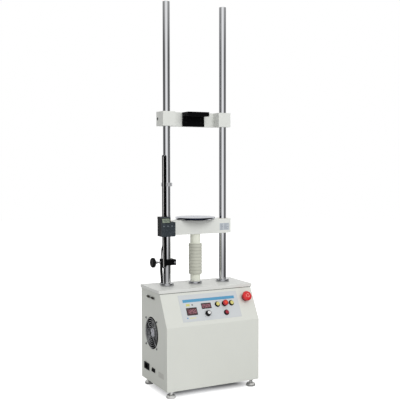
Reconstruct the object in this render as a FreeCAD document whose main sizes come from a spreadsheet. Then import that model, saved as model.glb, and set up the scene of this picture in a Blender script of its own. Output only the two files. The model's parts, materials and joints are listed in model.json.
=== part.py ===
"""Two-column force test stand, as a parametric document of separate pieces.

The frame: +Z up, millimetres, the floor at z = 0, the origin under the middle of the cabinet.
The front of the stand looks along -Y. Every piece takes its size and place from the sheet.
"""
import FreeCAD, Part
import math
import os
import re

Vector = FreeCAD.Vector
doc = FreeCAD.newDocument("force_test_stand")

# Driving dimensions: alias, value in millimetres, what it is
SIZES = [
    ("cabinet_width", 400, "outside width of the cabinet"),
    ("cabinet_depth", 250, "outside depth of the cabinet"),
    ("cabinet_height", 362, "height of the cabinet covers"),
    ("fold_height", 242, "height of the upright part of the front cover"),
    ("slope_run", 67, "how far the control panel leans back"),
    ("sheet", 2, "thickness of the cover sheets"),
    ("base_thickness", 10, "thickness of the base plate"),
    ("post_width", 15, "width of the square frame posts"),
    ("post_inset", 3, "space between a post and the side cover"),
    ("top_thickness", 13, "thickness of the top plate"),
    ("top_overhang", 5, "top plate past the side covers"),
    ("top_lip", 3, "top plate past the control panel"),
    ("top_edge", 1.5, "rounding of the top plate's edges"),
    ("foot_height", 29, "floor to cabinet"),
    ("foot_radius", 18.5, "radius of a foot's pad"),
    ("foot_pad", 13, "height of a foot's pad"),
    ("foot_stem_radius", 6, "radius of a foot's screw"),
    ("foot_stem_length", 22, "length of a foot's screw above the pad"),
    ("foot_inset_x", 25, "foot centre to side of the cabinet"),
    ("foot_inset_y", 20, "foot centre to front or back of the cabinet"),
    ("column_radius", 15, "radius of a column"),
    ("column_spacing", 250, "distance between the columns"),
    ("column_y", 40, "columns and lift screw behind the middle"),
    ("column_length", 1116, "column above the top plate"),
    ("column_chamfer", 1.2, "chamfer at a column's top"),
    ("stud_radius", 10, "radius of a column's threaded end"),
    ("stud_length", 34, "length of a column's threaded end"),
    ("nut_radius", 17.3, "corner radius of a column nut"),
    ("nut_height", 16, "height of a column nut"),
    ("collar_radius", 27.5, "outside radius of the rings on the top plate"),
    ("collar_height", 11, "height of the rings on the top plate"),
    ("collar_chamfer", 1.5, "chamfer of the rings on the top plate"),
    ("slip_gap", 0.3, "space around a piece that moves or lies loose"),
    ("fit_gap", 0.05, "space around a shaft in its hole"),
    ("screw_radius", 12.5, "radius of the lift screw"),
    ("screw_reach", 426, "lift screw below the crosshead"),
    ("screw_flange_radius", 19, "radius of the lift screw's flange"),
    ("screw_flange_height", 10, "height of the lift screw's flange"),
    ("bellows_neck", 20.6, "outside radius of the bellows' necks"),
    ("bellows_radius", 27, "outside radius of the bellows"),
    ("bellows_wall", 1.3, "wall of the bellows"),
    ("bellows_foot", 42, "height of the bellows' lower neck"),
    ("bellows_head", 41, "height of the bellows' upper neck"),
    ("bellows_fold", 1.6, "depth of a fold in the bellows"),
    ("crosshead_end", 25, "column centre to the end of both crossheads"),
    ("crosshead_front", 26, "column centre to the crosshead's front"),
    ("crosshead_depth", 60, "depth of the crosshead"),
    ("crosshead_height", 58, "height of the crosshead"),
    ("crosshead_rise", 202, "top plate to the crosshead, as in the photograph"),
    ("crosshead_edge", 1.2, "rounding of the crosshead's edges"),
    ("bushing_wall", 3.5, "wall of a guide bushing"),
    ("platen_radius", 80, "radius of the platen"),
    ("platen_thickness", 9.5, "thickness of the platen"),
    ("platen_bevel", 4.5, "bevel under the platen's rim"),
    ("platen_edge", 0.6, "chamfer of the platen's upper rim"),
    ("spigot_radius", 10, "radius of the platen's spigot"),
    ("spigot_length", 14, "length of the platen's spigot"),
    ("upper_rise", 632, "top plate to the upper crosshead"),
    ("upper_height", 57, "height of the upper crosshead"),
    ("upper_front", 22, "column centre to the upper crosshead's front"),
    ("upper_depth", 66, "depth of the upper crosshead"),
    ("upper_block", 54, "width of a clamp block"),
    ("upper_beam", 22, "thickness of the beam between the blocks"),
    ("clamp_slit", 2.5, "width of a clamp slit"),
    ("clamp_screw_radius", 4, "radius of a clamp screw"),
    ("clamp_head_radius", 6.5, "radius of a clamp screw's head"),
    ("clamp_head_height", 8, "height of a clamp screw's head"),
    ("clamp_screw_length", 46, "length of a clamp screw"),
    ("clamp_screw_inset", 13, "clamp screw to the crosshead's back"),
    ("bracket_width", 94, "width of the gauge bracket"),
    ("bracket_leg", 12, "thickness of the gauge bracket's leg"),
    ("bracket_flange", 17, "thickness of the gauge bracket's flange"),
    ("bracket_reach", 44, "flange in front of the leg"),
    ("gauge_hole", 5.25, "radius of the hole for the force gauge"),
    ("gauge_hole_inset", 10, "gauge hole to the bracket's leg"),
    ("bracket_screw_x", 33, "gauge bracket screw from the middle"),
    ("bracket_screw_z", 17, "gauge bracket screw from the crosshead's edges"),
    ("scale_width", 13, "width of the linear scale"),
    ("scale_depth", 11, "depth of the linear scale"),
    ("scale_gap", 1, "space between the scale and the crosshead"),
    ("scale_offset", 25.8, "scale centre left of the column"),
    ("scale_rise", 76.5, "top plate to the scale"),
    ("scale_length", 440, "length of the linear scale"),
    ("ring_radius", 22, "radius of the upper stop ring"),
    ("ring_height", 14, "height of the upper stop ring"),
    ("ring_rise", 395, "top plate to the upper stop ring"),
    ("limit_rise", 84, "top plate to the lower limit clamp"),
    ("limit_height", 22, "height of the lower limit clamp"),
    ("limit_left", 22, "limit clamp left of the column centre"),
    ("limit_right", 28, "limit clamp right of the column centre"),
    ("limit_back", 24, "limit clamp behind the column centre"),
    ("limit_screw_radius", 2.5, "radius of the limit clamp's screw"),
    ("knob_radius", 19.5, "radius of the clamp knob"),
    ("knob_thickness", 14, "thickness of the clamp knob"),
    ("knob_hub", 7, "length of the clamp knob's hub"),
    ("knob_hub_radius", 6, "radius of the clamp knob's hub"),
    ("knob_gap", 24, "clamp knob's hub to the limit clamp"),
    ("knob_stud_radius", 2.5, "radius of the clamp knob's stud"),
    ("knob_stud_grip", 5, "clamp knob's stud inside the limit clamp"),
    ("readout_width", 56, "width of the readout"),
    ("readout_depth", 47, "depth of the readout"),
    ("readout_height", 56, "height of the readout's lower part"),
    ("readout_head", 20, "readout's display head above its lower part"),
    ("readout_head_width", 36, "width of the readout's display head"),
    ("readout_head_lean", 9, "how far the readout's display leans back"),
    ("readout_head_drop", 8, "readout's slanted face below its lower part's top"),
    ("readout_left", 52, "readout's left side to the column centre"),
    ("window_width", 32, "width of the readout's window"),
    ("window_height", 17, "height of the readout's window"),
    ("window_depth", 1.5, "thickness of the readout's window"),
    ("readout_button_radius", 2.6, "radius of a readout button"),
    ("readout_button_travel", 1, "travel of a readout button"),
    ("readout_button_rise", 41, "readout buttons above the readout's foot"),
    ("readout_button_first", 7, "first readout button to the readout's left side"),
    ("readout_button_pitch", 17, "distance between the readout buttons"),
    ("lead_radius", 2.2, "radius of the scale's lead"),
    ("sleeve_gap", 0.6, "space between the lead and its sleeve"),
    ("sleeve_radius", 5.2, "radius of the lead's sleeve"),
    ("gland_radius", 8, "radius of the gland under the sleeve"),
    ("gland_height", 6, "height of the gland under the sleeve"),
    ("overlay_width", 256, "width of the control panel's overlay"),
    ("overlay_height", 108, "height of the control panel's overlay"),
    ("overlay_sheet", 0.6, "thickness of the overlay"),
    ("overlay_v", 71, "overlay centre above the fold, along the slope"),
    ("display_left_width", 45, "width of the left display"),
    ("display_left_height", 30, "height of the left display"),
    ("display_left_u", -82.5, "left display from the middle"),
    ("display_left_v", 57, "left display above the fold"),
    ("display_right_width", 42, "width of the right display"),
    ("display_right_height", 22.5, "height of the right display"),
    ("display_right_u", -16.8, "right display from the middle"),
    ("display_right_v", 74.3, "right display above the fold"),
    ("display_depth", 16, "depth of a display behind the panel"),
    ("display_proud", 1.2, "display in front of the panel"),
    ("button_u", 63.5, "middle button from the middle"),
    ("button_pitch", 31.3, "distance between the buttons in the row"),
    ("button_v", 76, "row of buttons above the fold"),
    ("record_v", 39.5, "lower button above the fold"),
    ("button_hole", 8, "radius of a button's hole in the panel"),
    ("button_bezel", 11, "radius of a button's bezel"),
    ("button_bezel_height", 2.4, "height of a button's bezel"),
    ("button_cap", 8.6, "radius of a button's cap"),
    ("button_cap_height", 7.5, "height of a button's cap"),
    ("button_stem", 4, "radius of a button's stem"),
    ("button_travel", 3, "travel of a button"),
    ("button_body", 30, "length of a button's body behind the panel"),
    ("mushroom_radius", 11.5, "radius of the middle button's head"),
    ("mushroom_height", 7, "height of the middle button's head"),
    ("mushroom_neck", 9, "neck under the middle button's head"),
    ("estop_inset", 38, "emergency stop to the right side of the cabinet"),
    ("estop_v", 93, "emergency stop above the fold"),
    ("estop_radius", 20, "radius of the emergency stop's head"),
    ("estop_head", 13, "height of the emergency stop's head"),
    ("estop_travel", 5, "travel of the emergency stop"),
    ("estop_collar", 14.5, "radius of the emergency stop's collar"),
    ("estop_collar_height", 9, "height of the emergency stop's collar"),
    ("estop_stem", 7, "radius of the emergency stop's stem"),
    ("dial_u", -16.9, "speed knob from the middle"),
    ("dial_v", 43, "speed knob above the fold"),
    ("dial_radius", 11.5, "radius of the speed knob"),
    ("dial_height", 14, "height of the speed knob"),
    ("dial_shaft", 3, "radius of the speed knob's shaft"),
    ("fan_y", 21, "fan centre behind the middle"),
    ("fan_rise", 197, "fan centre above the cabinet's foot"),
    ("fan_size", 120, "side of the fan's frame"),
    ("fan_depth", 25, "depth of the fan's frame"),
    ("fan_hole", 58, "radius of the opening in the fan's frame"),
    ("fan_opening", 63, "radius of the fan's opening in the side cover"),
    ("fan_screw_pitch", 105, "distance between the fan's screws"),
    ("fan_hub", 20, "radius of the fan's hub"),
    ("fan_blade_thickness", 2.4, "thickness of a fan blade"),
    ("fan_blade", 54, "radius of the fan's blades"),
    ("fan_shaft", 2, "radius of the fan's shaft"),
    ("guard_wire", 1.1, "radius of the guard's wire"),
    ("guard_gap", 8, "distance between the guard's rings"),
    ("screw_head_radius", 3.6, "radius of a cover screw's head"),
    ("screw_head_height", 2, "height of a cover screw's head"),
    ("screw_shank_radius", 1.9, "radius of a cover screw's shank"),
    ("inlet_y", 70.5, "power inlet behind the middle"),
    ("inlet_rise", 55, "power inlet above the cabinet's foot"),
    ("inlet_width", 49, "width of the power inlet's flange"),
    ("inlet_height", 27, "height of the power inlet's flange"),
    ("inlet_flange", 3, "thickness of the power inlet's flange"),
    ("inlet_body_width", 31, "width of the power inlet's body"),
    ("inlet_body_height", 23.5, "height of the power inlet's body"),
    ("inlet_wall", 2.2, "wall of the power inlet"),
    ("inlet_depth", 24, "depth of the power inlet behind the cover"),
    ("inlet_pin_width", 4, "width of the power inlet's pins"),
    ("inlet_pin_length", 14, "length of the power inlet's pins"),
    ("switch_y", 3, "power switch behind the middle"),
    ("switch_rise", 54, "power switch above the cabinet's foot"),
    ("switch_width", 30, "width of the power switch's frame"),
    ("switch_height", 15, "height of the power switch's frame"),
    ("switch_flange", 2, "thickness of the power switch's frame"),
    ("switch_wall", 1.8, "wall of the power switch's frame"),
    ("switch_depth", 20, "depth of the power switch behind the cover"),
    ("rocker_proud", 4, "rocker in front of its frame at its high end"),
    ("rocker_depth", 3, "rocker's pin behind its frame's face"),
    ("rocker_pin", 1, "radius of the rocker's pin"),
    ("rocker_tilt", 11, "rocker's tilt to each side, in degrees"),
    ("port_first_y", 5, "first signal socket behind the middle"),
    ("port_pitch", 41.7, "distance between the signal sockets"),
    ("port_rise", 337, "signal sockets above the cabinet's foot"),
    ("port_flange_width", 30.8, "width of a signal socket's flange"),
    ("port_flange_height", 12.5, "height of a signal socket's flange"),
    ("port_flange", 1.2, "thickness of a signal socket's flange"),
    ("port_width", 17, "width of a signal socket's shell at its wide side"),
    ("port_height", 8.6, "height of a signal socket's shell"),
    ("port_slant", 1.5, "how much the shell narrows at each end"),
    ("port_wall", 0.8, "wall of a signal socket's shell"),
    ("port_proud", 5, "shell in front of the cover"),
    ("port_mouth", 4, "depth of a signal socket's mouth"),
    ("port_depth", 12, "signal socket behind the cover"),
    ("drive_drop", 70, "top plate to the foot of the drive frame"),
    ("drive_deck", 12, "thickness of the drive frame's deck"),
    ("drive_head", 15, "height of the drive frame's bearing ring"),
    ("drive_spacer", 7, "radius of the drive frame's spacers"),
    ("bearing_radius", 34, "outside radius of a bearing"),
    ("bearing_seat", 9, "wall around a bearing"),
    ("nut_sleeve", 20, "outside radius of the drive nut"),
    ("pulley_radius", 34, "radius of the nut's pulley"),
    ("pulley_height", 20, "height of the pulleys"),
    ("pulley_rim", 2, "thickness of the pulleys' rims"),
    ("pulley_flange", 2.5, "rim of the pulleys past the belt"),
    ("belt_thickness", 2.5, "thickness of the belt"),
    ("motor_x", 85, "motor right of the middle"),
    ("motor_back", 44, "motor behind the lift screw"),
    ("motor_radius", 28, "radius of the motor"),
    ("motor_length", 120, "length of the motor"),
    ("motor_flange", 60, "side of the motor's flange"),
    ("motor_flange_thickness", 8, "thickness of the motor's flange"),
    ("motor_shaft", 6, "radius of the motor's shaft"),
    ("motor_pulley_radius", 14, "radius of the motor's pulley"),
    ("supply_length", 140, "length of the power supply"),
    ("supply_depth", 95, "depth of the power supply"),
    ("supply_height", 60, "height of the power supply"),
    ("supply_edge", 12, "power supply's slots to its edges"),
    ("supply_slot", 4, "width of the power supply's slots"),
    ("supply_inset", 25, "power supply to the right side of the cabinet"),
    ("supply_inset_y", 60, "power supply to the front of the cabinet"),
    ("board_length", 130, "length of the control board"),
    ("board_depth", 100, "depth of the control board"),
    ("capacitor_radius", 8, "radius of the control board's capacitors"),
    ("capacitor_height", 26, "height of the control board's capacitors"),
    ("heat_sink", 22, "height of the control board's heat sink"),
    ("board_thickness", 1.6, "thickness of the control board"),
    ("board_inset", 35, "control board to the left side of the cabinet"),
    ("board_inset_y", 70, "control board to the front of the cabinet"),
    ("standoff_height", 10, "height of the control board's standoffs"),
    ("standoff_radius", 3, "radius of the control board's standoffs"),
    ("vent_length", 40, "length of a vent slot in the rear cover"),
    ("vent_width", 4, "width of a vent slot in the rear cover"),
    ("vent_pitch", 12, "distance between the vent slots"),
    ("vent_rise", 210, "first vent slot above the cabinet's foot"),
    ("vent_x", 60, "vent slots from the middle"),
]

# Counts of what repeats
BELLOWS_FOLDS = 9
FAN_BLADES = 7
GUARD_RINGS = 6
VENT_ROWS = 8
SUPPLY_FINS = 9

sizes = doc.addObject("Spreadsheet::Sheet", "Sizes")
for row, (alias, number, meaning) in enumerate(SIZES, start=1):
    sizes.set(f"A{row}", meaning)
    sizes.set(f"B{row}", str(number))
    sizes.setAlias(f"B{row}", alias)
doc.recompute()
ALIASES = {alias for alias, _, _ in SIZES}

# Places that many pieces share, as formulas of the sheet's cells
SIDE = "(cabinet_width/2)"
FRONT = "(-cabinet_depth/2)"
BACK = "(cabinet_depth/2)"
FOOT = "foot_height"
COVER_TOP = "(foot_height + cabinet_height)"
FOLD = "(foot_height + fold_height)"
BASE_TOP = "(foot_height + base_thickness)"
PLATE_TOP = "(foot_height + cabinet_height + top_thickness)"
LEAN = "atan(slope_run/(cabinet_height - fold_height))"
SLOPE_TOP_Y = f"({FRONT} + slope_run)"
COLUMN_X = "(column_spacing/2)"
HEAD_HALF = f"({COLUMN_X} + crosshead_end)"
COLUMN_TOP = f"({PLATE_TOP} + column_length)"
HEAD_FOOT = f"({PLATE_TOP} + crosshead_rise)"
HEAD_TOP = f"({HEAD_FOOT} + crosshead_height)"
HEAD_FRONT = "(column_y - crosshead_front)"
SCALE_BACK = f"({HEAD_FRONT} - scale_gap)"
SCALE_X = "(-column_spacing/2 - scale_offset)"
UPPER_FOOT = f"({PLATE_TOP} + upper_rise)"
UPPER_TOP = f"({UPPER_FOOT} + upper_height)"
UPPER_FRONT = "(column_y - upper_front)"
UPPER_BACK = f"({UPPER_FRONT} + upper_depth)"
BEAM_FRONT = f"({UPPER_BACK} - upper_beam)"
LEG_FRONT = f"({BEAM_FRONT} - bracket_leg)"
LIMIT_FOOT = f"({PLATE_TOP} + limit_rise)"
LIMIT_MIDDLE = f"({LIMIT_FOOT} + limit_height/2)"
LIMIT_LEFT = f"(-{COLUMN_X} - limit_left)"
FAN_Z = "(foot_height + fan_rise)"
FAN_FRONT = f"(-{SIDE} + sheet)"
DECK_FOOT = f"({COVER_TOP} - drive_drop)"
DECK_TOP = f"({DECK_FOOT} + drive_deck)"
RING_FOOT = f"({COVER_TOP} - drive_head)"
PULLEY_FOOT = f"(({DECK_TOP} + {RING_FOOT} - pulley_height)/2)"
MOTOR_Y = "(column_y + motor_back)"
ESTOP_U = f"({SIDE} - estop_inset)"


def formula(text):
    """The formula with each cell's alias written out for the document."""
    return re.sub(r"[a-z][a-z_0-9]*", lambda word: f"Sizes.{word[0]}" if word[0] in ALIASES else word[0],
                  str(text))


def value(text):
    """The formula's present value, as a plain number."""
    result = sizes.evalExpression(formula(text))
    return float(getattr(result, "Value", result))


def bind(item, prop, text):
    """Ties a property of the item to a formula."""
    item.setExpression(prop, formula(text))


def place(item, x="0", y="0", z="0", axis=None, turn=None):
    """Puts the item at (x, y, z), turned about the axis by an angle."""
    if axis:
        item.Placement = FreeCAD.Placement(Vector(), FreeCAD.Rotation(Vector(*axis), max(value(turn), 0.001)))
        bind(item, "Placement.Rotation.Angle", turn)
    for letter, text in zip("xyz", (x, y, z)):
        bind(item, f"Placement.Base.{letter}", text)
    return item


def on_panel(item, u, v, out="0"):
    """Puts the item on the sloping panel: u across, v up the slope from the fold, out of the face."""
    y = f"{FRONT} + ({v})*sin({LEAN}) - ({out})*cos({LEAN})"
    z = f"{FOLD} + ({v})*cos({LEAN}) + ({out})*sin({LEAN})"
    return place(item, u, y, z, (1, 0, 0), f"90 deg - {LEAN}")


def block(name, x, y, z):
    """A box between the two formulas that each of x, y and z gives."""
    item = doc.addObject("Part::Box", name)
    for prop, (low, high) in zip(("Length", "Width", "Height"), (x, y, z)):
        bind(item, prop, f"({high}) - ({low})")
    return place(item, x[0], y[0], z[0])


# Turn of a cylinder's own axis onto each axis of the frame
AXIS_TURNS = {"z": None, "x": ((0, 1, 0), "90 deg"), "y": ((-1, 0, 0), "90 deg")}


def rod(name, radius, start, end, centre, axis="z"):
    """A cylinder along an axis from start to end, about the centre in the other two directions."""
    item = doc.addObject("Part::Cylinder", name)
    bind(item, "Radius", radius)
    bind(item, "Height", f"({end}) - ({start})")
    first, second = centre
    spot = {"z": (first, second, start), "x": (start, first, second), "y": (first, start, second)}[axis]
    return place(item, *spot, *(AXIS_TURNS[axis] or (None, None)))


def fuse(name, *parts):
    """One solid of several."""
    item = doc.addObject("Part::MultiFuse", name)
    item.Shapes = list(parts)
    item.Refine = True
    return item


def group(name, *parts):
    """Several separate solids as one sub-part."""
    item = doc.addObject("Part::Compound", name)
    item.Links = list(parts)
    return item


def cut(name, base, *tools):
    """The base without the tools."""
    item = doc.addObject("Part::Cut", name)
    item.Base = base
    item.Tool = tools[0] if len(tools) == 1 else fuse(f"{name}_tools", *tools)
    return item


def ring(name, outer, inner, start, end, centre, axis="z"):
    """A cylinder with a bore."""
    return cut(name, rod(f"{name}_outside", outer, start, end, centre, axis),
               rod(f"{name}_bore", inner, f"({start}) - 1", f"({end}) + 1", centre, axis))


def origin_plane(body, role):
    """One of a body's own origin planes."""
    return next(plane for plane in body.Origin.OriginFeatures if plane.Role == role)


def outline_sketch(body, name, role, points):
    """A closed sketch through points given as pairs of formulas, each point tied to the sheet."""
    sketch = body.newObject("Sketcher::SketchObject", name)
    sketch.AttachmentSupport = (origin_plane(body, role), [""])
    sketch.MapMode = "FlatFace"
    spots = [Vector(value(across), value(up), 0) for across, up in points]
    for start, end in zip(spots, spots[1:] + spots[:1]):
        sketch.addGeometry(Part.LineSegment(start, end))
    import Sketcher
    count = len(spots)
    for index in range(count):
        sketch.addConstraint(Sketcher.Constraint("Coincident", index, 2, (index + 1) % count, 1))
    for index, pair in enumerate(points):
        for kind, axis, text, amount in zip(("DistanceX", "DistanceY"), (-2, -1), pair, spots[index]):
            if abs(amount) < 1e-7:
                sketch.addConstraint(Sketcher.Constraint("PointOnObject", index, 1, axis))
                continue
            number = sketch.addConstraint(Sketcher.Constraint(kind, -1, 1, index, 1, amount))
            bind(sketch, f"Constraints[{number}]", text)
    return sketch


def turned(name, points):
    """A body turned about its own Z from an outline of (radius, height) pairs."""
    body = doc.addObject("PartDesign::Body", name)
    sketch = outline_sketch(body, f"{name}_profile", "XZ_Plane", points)
    turn = body.newObject("PartDesign::Revolution", f"{name}_turn")
    turn.Profile = sketch
    turn.ReferenceAxis = (sketch, ["V_Axis"])
    turn.Angle = 360
    return body


def padded(name, role, points, length, middle=False):
    """A body padded from an outline on one of its origin planes."""
    body = doc.addObject("PartDesign::Body", name)
    pad = body.newObject("PartDesign::Pad", f"{name}_pad")
    pad.Profile = outline_sketch(body, f"{name}_outline", role, points)
    pad.Midplane = middle
    bind(pad, "Length", length)
    return body


def rectangle(across, up):
    """The four corners of a rectangle between two formulas each way."""
    return [(across[0], up[0]), (across[1], up[0]), (across[1], up[1]), (across[0], up[1])]


def rounded(body, name, radius, test, kind="Fillet"):
    """Rounds or chamfers those edges of a body that pass the test."""
    doc.recompute()
    tip = body.Tip
    edges = [f"Edge{number}" for number, edge in enumerate(tip.Shape.Edges, start=1) if test(edge)]
    feature = body.newObject(f"PartDesign::{kind}", name)
    feature.Base = (tip, edges)
    bind(feature, "Radius" if kind == "Fillet" else "Size", radius)
    return body


def is_straight(edge):
    """True for an edge that is a line."""
    return isinstance(edge.Curve, (Part.Line, Part.LineSegment))


PARTS = []
SMALL_SCREWS = []


def finish(item, label):
    """Names a sub-part and adds it to what is written."""
    item.Label = label
    PARTS.append(item)
    return item


# Base, posts and feet
def make_base():
    inner_x = (f"-{SIDE} + sheet", f"{SIDE} - sheet")
    plate = block("base_plate_solid", inner_x, (f"{FRONT} + sheet", f"{BACK} - sheet"), (FOOT, BASE_TOP))
    holes = []
    for side, x in (("left", f"-({SIDE} - foot_inset_x)"), ("right", f"{SIDE} - foot_inset_x")):
        for end, y in (("front", f"{FRONT} + foot_inset_y"), ("rear", f"{BACK} - foot_inset_y")):
            name = f"foot_{end}_{side}"
            holes.append(rod(f"{name}_hole", "foot_stem_radius + fit_gap", f"{FOOT} - 1", f"{BASE_TOP} + 1",
                             (x, y)))
            make_foot(name, x, y)
    finish(cut("base_plate", plate, *holes), "base_plate")
    posts = []
    for side in ("-1", "1"):
        middle = f"{side}*({SIDE} - sheet - post_inset - post_width/2)"
        x = (f"{middle} - post_width/2", f"{middle} + post_width/2")
        front = f"{SLOPE_TOP_Y} + sheet/cos({LEAN}) + 0.5"
        rear = f"{BACK} - sheet - post_inset - post_width"
        for end, y in (("front", front), ("rear", rear)):
            posts.append(block(f"post_{end}_{len(posts)}", x, (y, f"{y} + post_width"), (BASE_TOP, COVER_TOP)))
    finish(group("frame_posts", *posts), "frame_posts")


def make_foot(name, x, y):
    """A levelling foot: a pad with rounded shoulders, a nut and a screw that goes into the base plate."""
    outline = [("0", "0"), ("foot_radius - 2", "0"), ("foot_radius", "2"), ("foot_radius", "foot_pad - 5"),
               ("foot_radius - 3", "foot_pad"), ("foot_stem_radius", "foot_pad"),
               ("foot_stem_radius", "foot_pad + foot_stem_length"), ("0", "foot_pad + foot_stem_length")]
    foot = turned(f"{name}_body", outline)
    finish(place(foot, x, y), name)


# Covers
def cover_profile(inset):
    """The cabinet's side outline, as seen along X, with its front and slope moved in by a formula."""
    fold_drop = f"({inset})*tan({LEAN}/2)"
    return [(f"{FRONT} + {inset}", FOOT), (f"{FRONT} + {inset}", f"{FOLD} - {fold_drop}"),
            (f"{SLOPE_TOP_Y} + ({inset})/cos({LEAN})", COVER_TOP)]


def panel_holes():
    """The holes of the sloping panel, through the sheet along its normal."""
    spots = [(f"button_u + ({side})*button_pitch", "button_v", "button_hole") for side in (-1, 0, 1)]
    spots += [("button_u", "record_v", "button_hole"), (ESTOP_U, "estop_v", "estop_stem + 4"),
              ("dial_u", "dial_v", "dial_shaft + slip_gap")]
    holes = []
    for number, (u, v, radius) in enumerate(spots):
        hole = doc.addObject("Part::Cylinder", f"panel_hole_{number}")
        bind(hole, "Radius", radius)
        bind(hole, "Height", "4*sheet")
        holes.append(on_panel(hole, u, v, "-2*sheet"))
    for side in ("left", "right"):
        window = doc.addObject("Part::Box", f"panel_window_{side}")
        bind(window, "Length", f"display_{side}_width - 2")
        bind(window, "Width", f"display_{side}_height - 2")
        bind(window, "Height", "4*sheet")
        corner_v = f"display_{side}_v - display_{side}_height/2 + 1"
        holes.append(on_panel(window, f"display_{side}_u - display_{side}_width/2 + 1", corner_v, "-2*sheet"))
    return holes


def make_front_cover():
    outer, inner = cover_profile("0"), cover_profile("sheet")
    shell = padded("front_cover_sheet", "YZ_Plane", outer + inner[::-1], "cabinet_width", middle=True)

    def at_fold(edge):
        flat = all(abs(vertex.Z - value(FOLD)) < 0.01 for vertex in edge.Vertexes)
        return is_straight(edge) and flat and abs(edge.Vertexes[0].Y - value(FRONT)) < 0.01
    rounded(shell, "front_cover_fold", "2*sheet", at_fold)
    finish(cut("front_cover", shell, *panel_holes()), "front_cover")


def side_cover(name, x):
    """A side cover between the front cover and the rear cover; x is its low side."""
    profile = cover_profile("sheet") + [(f"{BACK} - sheet", COVER_TOP), (f"{BACK} - sheet", FOOT)]
    return place(padded(name, "YZ_Plane", profile, "sheet"), x)


def make_side_covers():
    finish(side_cover("side_cover_right", f"{SIDE} - sheet"), "side_panel_right")
    sheet_left = side_cover("side_cover_left", f"-{SIDE}")
    through = (f"-{SIDE} - 1", f"-{SIDE} + sheet + 1")
    holes = [rod("fan_opening_tool", "fan_opening", *through, ("fan_y", FAN_Z), "x")]
    for number, (y, z) in enumerate(fan_screw_spots()):
        holes.append(rod(f"fan_screw_hole_{number}", "screw_shank_radius + fit_gap", *through, (y, z), "x"))
    for number in (0, 1):
        holes.append(port_shell(f"port_slot_{number}", number, *through, grow="fit_gap"))
    for name in ("inlet_body", "switch_body"):
        y, z = slot_sides(name, "fit_gap")
        holes.append(block(f"{name}_slot", through, y, z))
    finish(cut("side_cover_left_cut", sheet_left, *holes), "side_panel_left")


def slot_sides(name, grow="0"):
    """The y and z sides of the power inlet's or the switch's body, grown by a formula."""
    if name == "inlet_body":
        y, z, width, height = "inlet_y", f"({FOOT} + inlet_rise)", "inlet_body_width", "inlet_body_height"
    else:
        y, z = "switch_y", f"({FOOT} + switch_rise)"
        width, height = "(switch_width - 3)", "(switch_height - 2)"
    return ((f"{y} - {width}/2 - {grow}", f"{y} + {width}/2 + {grow}"),
            (f"{z} - {height}/2 - {grow}", f"{z} + {height}/2 + {grow}"))


def fan_screw_spots():
    """The four corners of the fan's screws, as (y, z) pairs of formulas."""
    return [(f"fan_y + ({across})*fan_screw_pitch/2", f"{FAN_Z} + ({up})*fan_screw_pitch/2")
            for across in (-1, 1) for up in (-1, 1)]


def rear_screw_spots():
    """The rear cover's screws into the rear posts, as (x, z) pairs of formulas."""
    x = f"({SIDE} - sheet - post_inset - post_width/2)"
    heights = (f"{FOOT} + 40", f"{FOOT} + cabinet_height/2", f"{COVER_TOP} - 40")
    return [(f"({side})*{x}", z) for side in (-1, 1) for z in heights]


def make_rear_cover():
    sheet_rear = block("rear_cover_sheet", (f"-{SIDE}", SIDE), (f"{BACK} - sheet", BACK), (FOOT, COVER_TOP))
    holes = []
    for number, (x, z) in enumerate(rear_screw_spots()):
        holes.append(rod(f"rear_screw_hole_{number}", "screw_shank_radius + fit_gap", f"{BACK} - sheet - 1",
                         f"{BACK} + 1", (x, z), "y"))
    for vent_row in range(VENT_ROWS):
        low = f"{FOOT} + vent_rise + {vent_row}*vent_pitch"
        for side in (-1, 1):
            x = (f"({side})*vent_x - vent_length/2", f"({side})*vent_x + vent_length/2")
            holes.append(block(f"vent_{vent_row}_{side + 1}", x, (f"{BACK} - sheet - 1", f"{BACK} + 1"),
                               (low, f"{low} + vent_width")))
    finish(cut("rear_cover", sheet_rear, *holes), "rear_panel")


def head_screw(name, start, inward, outward, centre, axis):
    """A cover screw: its head outside the sheet at start, its shank going inward."""
    low, high = sorted((f"{start}", f"{start} {outward} screw_head_height"), key=value)
    head = rod(f"{name}_head", "screw_head_radius", low, high, centre, axis)
    low, high = sorted((f"{start}", f"{start} {inward}"), key=value)
    return fuse(name, head, rod(f"{name}_shank", "screw_shank_radius", low, high, centre, axis))


def make_cover_screws():
    for number, spot in enumerate(rear_screw_spots()):
        SMALL_SCREWS.append(head_screw(f"rear_screw_{number}", BACK, "- sheet - post_inset", "+", spot, "y"))
    for number, spot in enumerate(fan_screw_spots()):
        face = f"-{SIDE} - 2*guard_wire"
        SMALL_SCREWS.append(head_screw(f"fan_screw_{number}", face, "+ 2*guard_wire + sheet + 12", "-", spot, "x"))


# Top plate and what stands on it
def make_top_plate():
    corners = rectangle((f"-{SIDE} - top_overhang", f"{SIDE} + top_overhang"), (f"{SLOPE_TOP_Y} - top_lip", BACK))
    plate = padded("top_plate_solid", "XY_Plane", corners, "top_thickness")
    rounded(plate, "top_plate_edges", "top_edge", is_straight)
    place(plate, z=COVER_TOP)
    through = (f"{COVER_TOP} - 1", f"{PLATE_TOP} + 1")
    holes = [rod(f"stud_hole_{side}", "stud_radius + fit_gap", *through, (f"{side}*{COLUMN_X}", "column_y"))
             for side in ("-1", "1")]
    holes.append(rod("lift_hole", "screw_radius + 1.5", *through, ("0", "column_y")))
    x, y = [str(amount) for amount in LEAD_SLEEVED[-1][:2]]
    holes.append(rod("lead_hole", "lead_radius + sleeve_gap", *through, (x, y)))
    finish(cut("top_plate", plate, *holes), "top_plate")


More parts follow.
